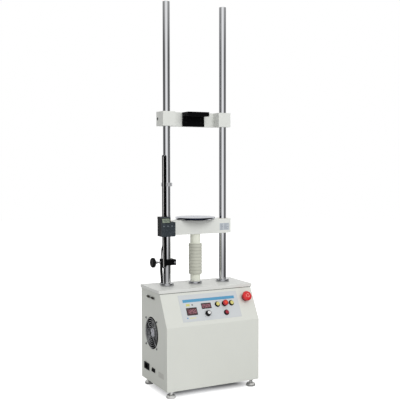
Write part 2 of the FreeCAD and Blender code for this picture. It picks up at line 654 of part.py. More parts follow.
def make_columns():
    foot = "-stud_length"
    edge = "column_chamfer"
    outline = [("0", foot), ("stud_radius", foot), ("stud_radius", "0"), ("column_radius", "0"),
               ("column_radius", f"column_length - {edge}"), (f"column_radius - {edge}", "column_length"),
               ("0", "column_length")]
    nuts = []
    rings = []
    for side, x in (("left", f"-{COLUMN_X}"), ("right", COLUMN_X)):
        column = turned(f"column_{side}_body", outline)
        finish(place(column, x, "column_y", PLATE_TOP), f"column_{side}")
        blank = doc.addObject("Part::Prism", f"column_nut_{side}_blank")
        blank.Polygon = 6
        bind(blank, "Circumradius", "nut_radius")
        bind(blank, "Height", "nut_height")
        place(blank, x, "column_y", f"{COVER_TOP} - nut_height")
        nuts.append(cut(f"column_nut_{side}", blank,
                        rod(f"column_nut_bore_{side}", "stud_radius + fit_gap", f"{COVER_TOP} - nut_height - 1",
                            f"{COVER_TOP} + 1", (x, "column_y"))))
        rings.append(plate_collar(f"collar_{side}", x, "column_radius + fit_gap"))
    rings.append(plate_collar("collar_middle", "0", "bellows_neck + slip_gap"))
    finish(group("column_nuts", *nuts), "column_nuts")
    finish(group("plate_collars", *rings), "plate_collars")


def plate_collar(name, x, bore):
    """A chrome ring on the top plate, with a chamfered shoulder."""
    outline = [(bore, "0"), ("collar_radius", "0"), ("collar_radius", "collar_height - collar_chamfer"),
               ("collar_radius - collar_chamfer", "collar_height"), (bore, "collar_height")]
    return place(turned(name, outline), x, "column_y", PLATE_TOP)


def make_bellows():
    """A tube with two necks and a wide folded part between them."""
    low = "bellows_foot"
    high = "(crosshead_rise - bellows_head)"
    pitch = f"(({high} - {low})/{BELLOWS_FOLDS})"
    outer = [("bellows_neck", "0"), ("bellows_neck", f"{low} - 3"), ("bellows_radius", low)]
    for fold in range(1, BELLOWS_FOLDS):
        groove = f"{low} + {fold}*{pitch}"
        outer += [("bellows_radius", f"{groove} - {pitch}*0.14"), ("bellows_radius - bellows_fold", groove),
                  ("bellows_radius", f"{groove} + {pitch}*0.14")]
    outer += [("bellows_radius", high), ("bellows_neck", f"{high} + 3"), ("bellows_neck", "crosshead_rise")]
    neck = "bellows_neck - bellows_wall"
    wide = "bellows_radius - bellows_fold - bellows_wall"
    inner = [(neck, "crosshead_rise"), (neck, f"{high} + 2"), (wide, f"{high} - 1.5"),
             (wide, f"{low} + 1.5"), (neck, f"{low} - 2"), (neck, "0")]
    bellows = turned("bellows_body", outer + inner)
    finish(place(bellows, "0", "column_y", PLATE_TOP), "bellows")


# Lower crosshead and what it carries
def crosshead_bores(name, radius, low, high):
    """The two holes of a crosshead around the columns."""
    return [rod(f"{name}_bore_{side}", radius, f"{low} - 1", f"{high} + 1", (f"({side})*{COLUMN_X}", "column_y"))
            for side in (-1, 1)]


def make_crosshead():
    depth = (HEAD_FRONT, f"{HEAD_FRONT} + crosshead_depth")
    beam = padded("crosshead_beam", "XY_Plane", rectangle((f"-{HEAD_HALF}", HEAD_HALF), depth),
                  "crosshead_height")
    rounded(beam, "crosshead_edges", "crosshead_edge", is_straight)
    place(beam, z=HEAD_FOOT)
    bushing = "(column_radius + bushing_wall)"
    holes = crosshead_bores("crosshead", f"{bushing} + fit_gap", HEAD_FOOT, HEAD_TOP)
    holes.append(rod("spigot_hole", "spigot_radius + fit_gap", f"{HEAD_TOP} - spigot_length - 1",
                     f"{HEAD_TOP} + 1", ("0", "column_y")))
    finish(cut("crosshead", beam, *holes), "crosshead")
    bushings = [ring(f"bushing_{side}", bushing, "column_radius + fit_gap", HEAD_FOOT, HEAD_TOP,
                     (f"{side}*{COLUMN_X}", "column_y")) for side in ("-1", "1")]
    finish(group("guide_bushings", *bushings), "guide_bushings")


def make_lift_screw():
    outline = [("0", "-screw_reach"), ("screw_radius - 2", "-screw_reach"), ("screw_radius", "2 - screw_reach"),
               ("screw_radius", "-screw_flange_height"), ("screw_flange_radius", "-screw_flange_height"),
               ("screw_flange_radius", "0"), ("0", "0")]
    finish(place(turned("lift_screw_body", outline), "0", "column_y", HEAD_FOOT), "lift_screw")


def make_platen():
    top = "platen_thickness"
    outline = [("0", "-spigot_length"), ("spigot_radius", "-spigot_length"), ("spigot_radius", "0"),
               ("platen_radius - platen_bevel", "0"), ("platen_radius", "platen_bevel"),
               ("platen_radius", f"{top} - platen_edge"), ("platen_radius - platen_edge", top), ("0", top)]
    finish(place(turned("platen_body", outline), "0", "column_y", HEAD_TOP), "platen")


# Linear scale, stops and readout
def make_scale():
    x = (f"{SCALE_X} - scale_width/2", f"{SCALE_X} + scale_width/2")
    foot = f"{PLATE_TOP} + scale_rise"
    y = (f"{SCALE_BACK} - scale_depth", SCALE_BACK)
    finish(block("scale_beam", x, y, (foot, f"{foot} + scale_length")), "scale_beam")


def make_stop_ring():
    low = f"{PLATE_TOP} + ring_rise"
    high = f"{low} + ring_height"
    centre = (f"-{COLUMN_X}", "column_y")
    body = rod("stop_ring_body", "ring_radius", low, high, centre)
    left = f"{SCALE_X} - scale_width/2 + 1"
    tab = block("stop_ring_tab", (left, f"{left} + scale_width - 2"), (SCALE_BACK, f"{SCALE_BACK} + 4"), (low, high))
    lug = block("stop_ring_lug", (left, f"-{COLUMN_X}"), (f"{SCALE_BACK} + 2", "column_y - column_radius"), (low, high))
    bore = rod("stop_ring_bore", "column_radius + fit_gap", f"{low} - 1", f"{high} + 1", centre)
    finish(cut("stop_ring", fuse("stop_ring_solid", body, tab, lug), bore), "scale_ring")


def make_limit_clamp():
    z = (LIMIT_FOOT, f"{LIMIT_FOOT} + limit_height")
    right = f"(-{COLUMN_X} + limit_right)"
    back = "(column_y + limit_back)"
    body = block("limit_body", (LIMIT_LEFT, right), (SCALE_BACK, back), z)
    tab_left = f"{SCALE_X} - scale_width/2 + 1"
    tab = block("limit_tab", (tab_left, f"{LIMIT_LEFT} + 1"), (SCALE_BACK, f"{SCALE_BACK} + 6"), z)
    screw_x = f"{right} - 6"
    tools = [
        rod("limit_bore", "column_radius + fit_gap", f"{LIMIT_FOOT} - 1", f"{z[1]} + 1",
            (f"-{COLUMN_X}", "column_y")),
        block("limit_slit", (f"-{COLUMN_X}", f"{right} + 1"), ("column_y - 1", "column_y + 1"),
              (f"{LIMIT_FOOT} - 1", f"{z[1]} + 1")),
        rod("limit_screw_hole", "limit_screw_radius + fit_gap", f"{SCALE_BACK} - 1", f"{back} + 1",
            (screw_x, LIMIT_MIDDLE), "y"),
        rod("limit_stud_hole", "knob_stud_radius + fit_gap", f"{LIMIT_LEFT} - 1",
            f"{LIMIT_LEFT} + knob_stud_grip + 1", ("column_y", LIMIT_MIDDLE), "x"),
    ]
    finish(cut("limit_clamp", fuse("limit_solid", body, tab), *tools), "limit_clamp")
    head = rod("limit_screw_head", "limit_screw_radius + 1.8", f"{SCALE_BACK} - 3", SCALE_BACK,
               (screw_x, LIMIT_MIDDLE), "y")
    shank = rod("limit_screw_shank", "limit_screw_radius", SCALE_BACK, f"{back} - 2", (screw_x, LIMIT_MIDDLE), "y")
    SMALL_SCREWS.append(fuse("limit_screw", head, shank))


def make_clamp_knob():
    """The knob, its hub and its stud, turned about Z and laid along X: its head to the left."""
    hub = "(knob_gap + knob_hub)"
    head = f"({hub} + knob_thickness)"
    outline = [("0", "-knob_stud_grip"), ("knob_stud_radius", "-knob_stud_grip"), ("knob_stud_radius", "knob_gap"),
               ("knob_hub_radius - 2", "knob_gap"), ("knob_hub_radius", f"{hub} - 3"),
               ("knob_radius - 7", hub), ("knob_radius - 1", f"{hub} + 1.5"), ("knob_radius", f"{hub} + 4"),
               ("knob_radius", f"{head} - 3"), ("knob_radius - 3", head), ("0", head)]
    knob = turned("clamp_knob_body", outline)
    finish(place(knob, LIMIT_LEFT, "column_y", LIMIT_MIDDLE, (0, -1, 0), "90 deg"), "clamp_knob")


def make_readout():
    """The readout's case: a low body with a taller display head, and a channel for the scale."""
    left = f"(-{COLUMN_X} - readout_left)"
    front = f"({HEAD_FRONT} - readout_depth)"
    shoulder = f"({HEAD_FOOT} + readout_height)"
    top = f"({shoulder} + readout_head)"
    split = f"({left} + readout_head_width)"
    body = block("readout_body", (split, f"{left} + readout_width"), (front, HEAD_FRONT), (HEAD_FOOT, shoulder))
    slant_foot = f"({shoulder} - readout_head_drop)"
    profile = [(front, HEAD_FOOT), (HEAD_FRONT, HEAD_FOOT), (HEAD_FRONT, top),
               (f"{front} + readout_head_lean", top), (front, slant_foot)]
    head = place(padded("readout_head_body", "YZ_Plane", profile, "readout_head_width"), left)
    channel = block("readout_channel", (f"{SCALE_X} - scale_width/2 - slip_gap", f"{SCALE_X} + scale_width/2 + slip_gap"),
                    (f"{SCALE_BACK} - scale_depth - slip_gap", f"{HEAD_FRONT} + 1"),
                    (f"{HEAD_FOOT} - 1", f"{top} + 1"))
    tools = [channel]
    for number, name in enumerate(("left", "middle", "right")):
        x = f"{left} + readout_button_first + {number}*readout_button_pitch"
        z = f"{HEAD_FOOT} + readout_button_rise"
        inner = f"{front} + 2*readout_button_travel + 2"
        tools.append(rod(f"readout_button_hole_{name}", "readout_button_radius + slip_gap", f"{front} - 1", inner,
                         (x, z), "y"))
        button = rod(f"readout_button_{name}", "readout_button_radius",
                     f"{front} - 1.2", f"{inner} - readout_button_travel - slip_gap", (x, z), "y")
        finish(button, f"readout_button_{name}")
    finish(cut("readout_case", fuse("readout_solid", body, head), *tools), "readout_case")
    rise = "(readout_head + readout_head_drop)"
    slant = f"atan(readout_head_lean/{rise})"
    along = f"(({rise}/cos({slant}) - window_height)/2)"
    pane = doc.addObject("Part::Box", "readout_pane")
    bind(pane, "Length", "window_width")
    bind(pane, "Width", "window_height")
    bind(pane, "Height", "window_depth")
    place(pane, f"{left} + (readout_head_width - window_width)/2", f"{front} + {along}*sin({slant})",
          f"{slant_foot} + {along}*cos({slant})", (1, 0, 0), f"90 deg - {slant}")
    finish(pane, "readout_window")


# The lead of the scale, chosen by hand: from the scale's back, through its sleeve, to the control board
LEAD_OPEN = [(-153.3, 10.7, 575.1), (-153.6, 22, 561), (-154.2, 27, 545), (-155, 28.5, 520), (-155.6, 27.5, 500)]
LEAD_SLEEVED = [(-155, 28.8, 478.5), (-151.6, 35.7, 463), (-135.2, 68.5, 436.5), (-131.7, 75.6, 421.3)]
LEAD_INSIDE = [(-131.7, 75.6, 140), (-141, 35, 85), (-141, 35, 60.6)]
SLEEVE_SHARE = 0.75  # how much of the straight run above its first bend the sleeve covers


def tube_path(points):
    """Straight runs through the points, joined by tangent arcs as large as the runs allow."""
    corners = [Vector(*point) for point in points]
    edges = []
    start = corners[0]
    for before, corner, after in zip(corners, corners[1:], corners[2:]):
        arriving = (corner - before).normalize()
        leaving = (after - corner).normalize()
        half = arriving.getAngle(leaving) / 2
        back = 0.45 * min(before.distanceToPoint(corner), corner.distanceToPoint(after))
        radius = back / math.tan(half)
        first, last = corner - arriving * back, corner + leaving * back
        inward = (leaving - arriving).normalize()
        centre = corner + inward * (radius / math.cos(half))
        middle = centre - inward * radius
        edges.append(Part.LineSegment(start, first).toShape())
        edges.append(Part.Arc(first, middle, last).toShape())
        start = last
        print(f"lead arc radius {radius:.1f}")
    edges.append(Part.LineSegment(start, corners[-1]).toShape())
    return Part.Wire(edges)


def tube(name, points, radius):
    """A round tube along the route."""
    path = tube_path(points)
    heading = Vector(*points[1]) - Vector(*points[0])
    section = Part.Wire([Part.Circle(Vector(*points[0]), heading, radius).toShape()])
    shape = path.makePipeShell([section], True, False)
    print(f"{name} volume ratio {shape.Volume / (math.pi * radius ** 2 * path.Length):.4f}")
    item = doc.addObject("Part::Feature", name)
    item.Shape = shape
    return item


def make_lead():
    """The scale's lead, cut off at the scale's back, and its sleeve with a gland on the top plate."""
    lead = tube("scale_lead_tube", LEAD_OPEN + LEAD_SLEEVED + LEAD_INSIDE, value("lead_radius"))
    x, y, z = [str(amount) for amount in LEAD_OPEN[0]]
    reach = "4*lead_radius"
    finish(cut("scale_lead", lead, block("lead_end", (f"{x} - {reach}", f"{x} + {reach}"),
                                         (f"{SCALE_BACK} - {reach}", f"{SCALE_BACK} + slip_gap"),
                                         (f"{z} - {reach}", f"{z} + {reach}"))), "scale_lead")
    above, bend = Vector(*LEAD_OPEN[-1]), Vector(*LEAD_SLEEVED[0])
    x, y = LEAD_SLEEVED[-1][:2]
    covered = [tuple(bend + (above - bend) * SLEEVE_SHARE)] + LEAD_SLEEVED + [(x, y, value(PLATE_TOP))]
    outside = tube("sleeve_tube", covered, value("sleeve_radius"))
    inside = tube("sleeve_bore", covered, value("lead_radius") + value("sleeve_gap"))
    gland = ring("sleeve_gland", "gland_radius", "sleeve_radius - 1", PLATE_TOP, f"{PLATE_TOP} + gland_height",
                 (str(x), str(y)))
    finish(cut("lead_sleeve", fuse("sleeve_solid", outside, gland), inside), "lead_sleeve")


# Upper crosshead
def make_upper_crosshead():
    half = HEAD_HALF
    inner = f"({half} - upper_block)"
    outline = [(f"-{half}", UPPER_FRONT), (f"-{inner}", UPPER_FRONT), (f"-{inner}", BEAM_FRONT), (inner, BEAM_FRONT),
               (inner, UPPER_FRONT), (half, UPPER_FRONT), (half, UPPER_BACK), (f"-{half}", UPPER_BACK)]
    beam = padded("upper_beam_body", "XY_Plane", outline, "upper_height")
    rounded(beam, "upper_edges", "crosshead_edge", is_straight)
    place(beam, z=UPPER_FOOT)
    tools = crosshead_bores("upper", "column_radius + fit_gap", UPPER_FOOT, UPPER_TOP)
    screw_y = f"{UPPER_BACK} - clamp_screw_inset"
    middle = f"{UPPER_FOOT} + upper_height/2"
    screws = []
    for side in (-1, 1):
        x = f"({side})*{COLUMN_X}"
        tools.append(block(f"upper_slit_{side + 1}", (f"{x} - clamp_slit/2", f"{x} + clamp_slit/2"),
                           ("column_y", f"{UPPER_BACK} + 1"), (f"{UPPER_FOOT} - 1", f"{UPPER_TOP} + 1")))
        face = f"({side})*{half}"
        seat = f"({side})*({half} - clamp_head_height)"
        end = f"({side})*({half} - clamp_screw_length)"
        past = f"({side})*({half} + 1)"
        for name, radius, one, other in (("head", "clamp_head_radius", past, seat),
                                         ("shank", "clamp_screw_radius", seat, end)):
            low, high = (one, other) if side < 0 else (other, one)
            tools.append(rod(f"clamp_{name}_hole_{side + 1}", f"{radius} + fit_gap", low, high,
                             (screw_y, middle), "x"))
        head_end = f"({side})*({half} - 1)"
        low, high = (head_end, seat) if side < 0 else (seat, head_end)
        head = rod(f"clamp_head_{side + 1}", "clamp_head_radius", low, high, (screw_y, middle), "x")
        low, high = (seat, end) if side < 0 else (end, seat)
        shank = rod(f"clamp_shank_{side + 1}", "clamp_screw_radius", low, high, (screw_y, middle), "x")
        screws.append(fuse(f"clamp_screw_{side + 1}", head, shank))
    bracket_holes = []
    for side in (-1, 1):
        for number, z in enumerate((f"{UPPER_FOOT} + bracket_screw_z", f"{UPPER_TOP} - bracket_flange - 8")):
            spot = (f"({side})*bracket_screw_x", z)
            tag = f"{side + 1}_{number}"
            bracket_holes.append(rod(f"bracket_head_hole_{tag}", "clamp_head_radius - 1 + fit_gap",
                                     f"{LEG_FRONT} - 1", f"{LEG_FRONT} + 6", spot, "y"))
            bracket_holes.append(rod(f"bracket_hole_{tag}", "screw_shank_radius + 1 + fit_gap", LEG_FRONT,
                                     f"{BEAM_FRONT} + 12", spot, "y"))
            head = rod(f"bracket_screw_head_{tag}", "clamp_head_radius - 1", f"{LEG_FRONT} + 1",
                       f"{LEG_FRONT} + 6", spot, "y")
            shank = rod(f"bracket_screw_shank_{tag}", "screw_shank_radius + 1", f"{LEG_FRONT} + 6",
                        f"{BEAM_FRONT} + 11", spot, "y")
            screws.append(fuse(f"bracket_screw_{tag}", head, shank))
    drilled = fuse("bracket_hole_tools", *bracket_holes)
    finish(cut("upper_crosshead", beam, *tools, drilled), "upper_crosshead")
    finish(group("upper_screws", *screws), "upper_screws")
    make_gauge_bracket(drilled)


def make_gauge_bracket(drilled):
    """An L of thick plate on the upper crosshead, its flange on top with the gauge's hole."""
    flange_foot = f"({UPPER_TOP} - bracket_flange)"
    outline = [(BEAM_FRONT, UPPER_FOOT), (BEAM_FRONT, UPPER_TOP), (f"{LEG_FRONT} - bracket_reach", UPPER_TOP),
               (f"{LEG_FRONT} - bracket_reach", flange_foot), (LEG_FRONT, flange_foot), (LEG_FRONT, UPPER_FOOT)]
    bracket = padded("gauge_bracket_body", "YZ_Plane", outline, "bracket_width", middle=True)
    rounded(bracket, "gauge_bracket_edges", "crosshead_edge", is_straight)
    hole = rod("gauge_hole_tool", "gauge_hole", f"{flange_foot} - 1", f"{UPPER_TOP} + 1",
               ("0", f"{LEG_FRONT} - gauge_hole_inset"))
    finish(cut("gauge_bracket", bracket, drilled, hole), "gauge_bracket")


# Drive inside the cabinet
def make_drive():
    centre = ("0", "column_y")
    seat = "(bearing_radius + bearing_seat)"
    deck = block("deck_plate", (f"-{seat}", "motor_x + motor_flange/2"),
                 (f"column_y - {seat}", f"{MOTOR_Y} + motor_flange/2"), (DECK_FOOT, DECK_TOP))
    head = rod("bearing_ring", seat, RING_FOOT, COVER_TOP, centre)
    spacers = []
    near = f"({seat} - drive_spacer)"
    spots = [(f"-{near}", f"column_y - {near}"), (f"-{near}", f"column_y + {near}"),
             (near, f"column_y - {near}")]
    for number, (x, y) in enumerate(spots):
        spacers.append(rod(f"deck_spacer_{number}", "drive_spacer", DECK_FOOT, COVER_TOP, (x, y)))
    corner = "motor_flange/2 - drive_spacer"
    spacers.append(rod("deck_spacer_motor", "drive_spacer", DECK_FOOT, COVER_TOP,
                       (f"motor_x + {corner}", f"{MOTOR_Y} + {corner}")))
    bar = block("bearing_ring_bar", (f"-{seat}", seat), (f"column_y - {seat}", "column_y"), (RING_FOOT, COVER_TOP))
    bore = rod("bearing_bore", "bearing_radius + fit_gap", f"{DECK_FOOT} - 1", f"{COVER_TOP} + 1", centre)
    shaft = rod("deck_shaft_hole", "motor_shaft + 2", f"{DECK_FOOT} - 1", f"{DECK_TOP} + 1", ("motor_x", MOTOR_Y))
    frame = fuse("drive_frame_solid", deck, head, bar, *spacers)
    finish(cut("drive_frame", frame, bore, shaft), "drive_frame")
    bearings = [ring("bearing_lower", "bearing_radius", "nut_sleeve + fit_gap", DECK_FOOT, DECK_TOP, centre),
                ring("bearing_upper", "bearing_radius", "nut_sleeve + fit_gap", RING_FOOT, COVER_TOP, centre)]
    finish(group("nut_bearings", *bearings), "nut_bearings")
    finish(ring("drive_nut", "nut_sleeve", "screw_radius + fit_gap", f"{DECK_FOOT} - 6",
                f"{COVER_TOP} - 1", centre), "drive_nut")
    finish(pulley("nut_pulley", "pulley_radius", "nut_sleeve + fit_gap", "0", "column_y"), "nut_pulley")
    wheel = pulley("motor_wheel", "motor_pulley_radius", "motor_shaft", "motor_x", MOTOR_Y)
    shaft = rod("motor_shaft_rod", "motor_shaft", f"{DECK_FOOT} - 20", f"{PULLEY_FOOT} + pulley_height + 2",
                ("motor_x", MOTOR_Y))
    finish(fuse("motor_pulley", wheel, shaft), "motor_pulley")
    make_belt()
    make_motor()


def pulley(name, radius, bore, x, y):
    """A belt pulley with two rims, on the pulleys' common level."""
    edge = f"({radius} + pulley_flange)"
    top = "pulley_height"
    outline = [(bore, "0"), (edge, "0"), (edge, "pulley_rim"), (radius, "pulley_rim"),
               (radius, f"{top} - pulley_rim"), (edge, f"{top} - pulley_rim"), (edge, top), (bore, top)]
    return place(turned(f"{name}_body", outline), x, y, PULLEY_FOOT)


def belt_loop(grow):
    """The closed line around both pulleys: two arcs and the two straight runs between them."""
    first, second = Vector(0, value("column_y"), 0), Vector(value("motor_x"), value(MOTOR_Y), 0)
    radii = [value("pulley_radius") + grow, value("motor_pulley_radius") + grow]
    way = second - first
    heading = math.atan2(way.y, way.x)
    spread = math.acos((radii[0] - radii[1]) / way.Length)

    def spot(centre, radius, angle):
        return centre + Vector(math.cos(angle), math.sin(angle), 0) * radius
    one, two = heading + spread, heading - spread
    a, b = spot(first, radii[0], one), spot(second, radii[1], one)
    c, d = spot(second, radii[1], two), spot(first, radii[0], two)
    far, near = spot(first, radii[0], heading + math.pi), spot(second, radii[1], heading)
    edges = [Part.LineSegment(a, b).toShape(), Part.Arc(b, near, c).toShape(),
             Part.LineSegment(c, d).toShape(), Part.Arc(d, far, a).toShape()]
    return Part.Wire(edges)


def make_belt():
    inner = value("slip_gap")
    outer = belt_loop(inner + value("belt_thickness"))
    face = Part.Face(outer).cut(Part.Face(belt_loop(inner)))
    clear = value("pulley_rim") + value("slip_gap")
    height = value("pulley_height") - 2 * clear
    item = doc.addObject("Part::Feature", "drive_belt")
    item.Shape = face.extrude(Vector(0, 0, height))
    item.Placement = FreeCAD.Placement(Vector(0, 0, value(PULLEY_FOOT) + clear), FreeCAD.Rotation())
    finish(item, "drive_belt")


def make_motor():
    half = "motor_flange/2"
    centre = ("motor_x", MOTOR_Y)
    flange = block("motor_flange_plate", (f"motor_x - {half}", f"motor_x + {half}"),
                   (f"{MOTOR_Y} - {half}", f"{MOTOR_Y} + {half}"),
                   (f"{DECK_FOOT} - motor_flange_thickness", DECK_FOOT))
    foot = f"({DECK_FOOT} - motor_length)"
    can = rod("motor_can", "motor_radius", foot, DECK_FOOT, centre)
    cap = rod("motor_cap", "motor_radius - 8", f"{foot} - 12", foot, centre)
    bore = rod("motor_bore", "motor_shaft + fit_gap", f"{DECK_FOOT} - 21", f"{DECK_FOOT} + 1", centre)
    finish(cut("drive_motor", fuse("drive_motor_solid", flange, can, cap), bore), "drive_motor")


def make_electronics():
    """The power supply at the right and the control board at the left, on the base plate."""
    left, front = f"({SIDE} - supply_inset - supply_length)", f"({FRONT} + supply_inset_y)"
    top = f"({BASE_TOP} + supply_height)"
    case = block("supply_case", (left, f"{left} + supply_length"), (front, f"{front} + supply_depth"), (BASE_TOP, top))
    slots = []
    for fin in range(SUPPLY_FINS):
        low = f"{left} + supply_edge + {fin}*(supply_length - 2*supply_edge)/{SUPPLY_FINS}"
        slots.append(block(f"supply_slot_{fin}", (low, f"{low} + supply_slot"),
                           (f"{front} + supply_edge", f"{front} + supply_depth - supply_edge"),
                           (f"{top} - sheet", f"{top} + 1")))
    finish(cut("power_supply", case, *slots), "power_supply")
    left, front = f"(board_inset - {SIDE})", f"({FRONT} + board_inset_y)"
    low = f"({BASE_TOP} + standoff_height)"
    top = f"{low} + board_thickness"
    board = [block("board_sheet", (left, f"{left} + board_length"), (front, f"{front} + board_depth"), (low, top))]
    inset = "(2*standoff_radius)"
    for x in (f"{left} + {inset}", f"{left} + board_length - {inset}"):
        for y in (f"{front} + {inset}", f"{front} + board_depth - {inset}"):
            board.append(rod(f"standoff_{len(board)}", "standoff_radius", BASE_TOP, low, (x, y)))
    for number, (across, along) in enumerate(((0.23, 0.25), (0.4, 0.25), (0.77, 0.75))):
        spot = (f"{left} + {across}*board_length", f"{front} + {along}*board_depth")
        board.append(rod(f"capacitor_{number}", "capacitor_radius", top, f"{top} + capacitor_height", spot))
    x, y, z = [str(amount) for amount in LEAD_INSIDE[-1]]
    half = "3*lead_radius"
    board.append(block("lead_socket", (f"{x} - {half}", f"{x} + {half}"), (f"{y} - {half}", f"{y} + {half}"), (low, z)))
    board.append(block("heat_sink", (f"{left} + 0.2*board_length", f"{left} + 0.6*board_length"),
                       (f"{front} + 0.5*board_depth", f"{front} + 0.75*board_depth"), (top, f"{top} + heat_sink")))
    finish(fuse("control_board", *board), "control_board")


# Left side: fan, inlet, switch and sockets
def make_fan():
    half = "fan_size/2"
    back = f"({FAN_FRONT} + fan_depth)"
    centre = ("fan_y", FAN_Z)
    frame = block("fan_box", (FAN_FRONT, back), (f"fan_y - {half}", f"fan_y + {half}"),
                  (f"{FAN_Z} - {half}", f"{FAN_Z} + {half}"))
    tools = [rod("fan_bore", "fan_hole", f"{FAN_FRONT} - 1", f"{back} + 1", centre, "x")]
    for number, spot in enumerate(fan_screw_spots()):
        tools.append(rod(f"fan_frame_hole_{number}", "screw_shank_radius + fit_gap", f"{FAN_FRONT} - 1",
                         f"{back} + 1", spot, "x"))
    shell = cut("fan_shell", frame, *tools)
    strut = ("fan_y - 3", "fan_y + 3"), (f"{FAN_Z} - 3", f"{FAN_Z} + 3")
    arms = [block("fan_arm_level", (f"{back} - 3", back), (f"fan_y - {half} + 1", f"fan_y + {half} - 1"), strut[1]),
            block("fan_arm_upright", (f"{back} - 3", back), strut[0], (f"{FAN_Z} - {half} + 1", f"{FAN_Z} + {half} - 1"))]
    stator = rod("fan_stator", "fan_hub", f"{back} - 4", back, centre, "x")
    bore = rod("fan_stator_bore", "fan_shaft + fit_gap", f"{back} - 5", f"{back} + 1", centre, "x")
    finish(cut("fan_frame", fuse("fan_frame_solid", shell, *arms, stator), bore), "fan_frame")
    start, end = f"{FAN_FRONT} + 2", f"{back} - 5"
    rotor = [rod("rotor_hub", "fan_hub", start, end, centre, "x"),
             rod("rotor_shaft", "fan_shaft", end, back, centre, "x")]
    for blade in range(FAN_BLADES):
        vane = doc.addObject("Part::Box", f"rotor_blade_{blade}")
        bind(vane, "Length", f"({end}) - ({start}) - 2")
        bind(vane, "Width", "fan_blade_thickness")
        bind(vane, "Height", "fan_blade - fan_hub + 2")
        sweep = 35
        tilt = FreeCAD.Rotation(Vector(0, 0, 1), sweep)
        spin = FreeCAD.Rotation(Vector(1, 0, 0), 360 * blade / FAN_BLADES)
        out = spin.multVec(Vector(0, 0, value("fan_hub") - 2))
        length = value(f"({end}) - ({start}) - 2")
        vane.setExpression("Length", formula(f"(({end}) - ({start}) - 4)*cos({sweep} deg)"))
        centre_shift = (spin * tilt).multVec(Vector(length * math.cos(math.radians(sweep)) / 2,
                                                    value("fan_blade_thickness") / 2, 0))
        middle = Vector(value(f"(({start}) + ({end}))/2"), value("fan_y"), value(FAN_Z))
        vane.Placement = FreeCAD.Placement(middle + out - centre_shift, spin * tilt)
        rotor.append(vane)
    finish(fuse("fan_rotor", *rotor), "fan_rotor")
    make_fan_guard(centre)


def make_fan_guard(centre):
    """Wire rings on two crossing wires that end in eyes under the fan's screws."""
    plane_x = f"-{SIDE} - guard_wire"
    wires = []
    for number in range(GUARD_RINGS):
        hoop = doc.addObject("Part::Torus", f"guard_ring_{number}")
        bind(hoop, "Radius1", f"fan_hole - 1 - {number}*guard_gap")
        bind(hoop, "Radius2", "guard_wire - 0.1")
        wires.append(place(hoop, plane_x, *centre, (0, 1, 0), "90 deg"))
    reach = "(fan_screw_pitch/sqrt(2))"
    for number, angle in enumerate((45, 135)):
        bar = doc.addObject("Part::Cylinder", f"guard_bar_{number}")
        bind(bar, "Radius", "guard_wire")
        bind(bar, "Height", f"2*{reach}")
        turn = math.radians(angle)
        y = f"fan_y + {reach}*{math.sin(turn):.9f}"
        z = f"{FAN_Z} - {reach}*{math.cos(turn):.9f}"
        wires.append(place(bar, plane_x, y, z, (1, 0, 0), f"{angle} deg"))
    holes = []
    for number, spot in enumerate(fan_screw_spots()):
        wires.append(rod(f"guard_eye_{number}", "screw_shank_radius + 2.4", f"-{SIDE} - 2*guard_wire", f"-{SIDE}",
                         spot, "x"))
        holes.append(rod(f"guard_eye_hole_{number}", "screw_shank_radius + fit_gap", f"-{SIDE} - 2*guard_wire - 1",
                         f"-{SIDE} + 1", spot, "x"))
    finish(cut("fan_guard", fuse("guard_wires", *wires), *holes), "fan_guard")


def make_power_inlet():
    y, z = "inlet_y", f"({FOOT} + inlet_rise)"
    face = f"(-{SIDE} - inlet_flange)"
    deep = f"(-{SIDE} + sheet + inlet_depth)"
    flange = block("inlet_flange_plate", (face, f"-{SIDE}"), (f"{y} - inlet_width/2", f"{y} + inlet_width/2"),
                   (f"{z} - inlet_height/2", f"{z} + inlet_height/2"))
    body = block("inlet_body_block", (f"-{SIDE} - 1", deep), *slot_sides("inlet_body"))
    sides = slot_sides("inlet_body", "-inlet_wall")
    socket = block("inlet_socket", (f"{face} - 1", f"{deep} - inlet_wall"), *sides)
    shell = cut("inlet_shell", fuse("inlet_solid", flange, body), socket)
    pins = []
    for number, (across, up) in enumerate(((-7, -2), (0, 4), (7, -2))):
        middle = f"{y} + {across}"
        pins.append(block(f"inlet_pin_{number}", (f"{deep} - inlet_wall - inlet_pin_length", f"{deep} - 0.5"),
                          (f"{middle} - 1", f"{middle} + 1"),
                          (f"{z} + {up} - inlet_pin_width/2", f"{z} + {up} + inlet_pin_width/2")))
    finish(fuse("power_inlet", shell, *pins), "power_inlet")


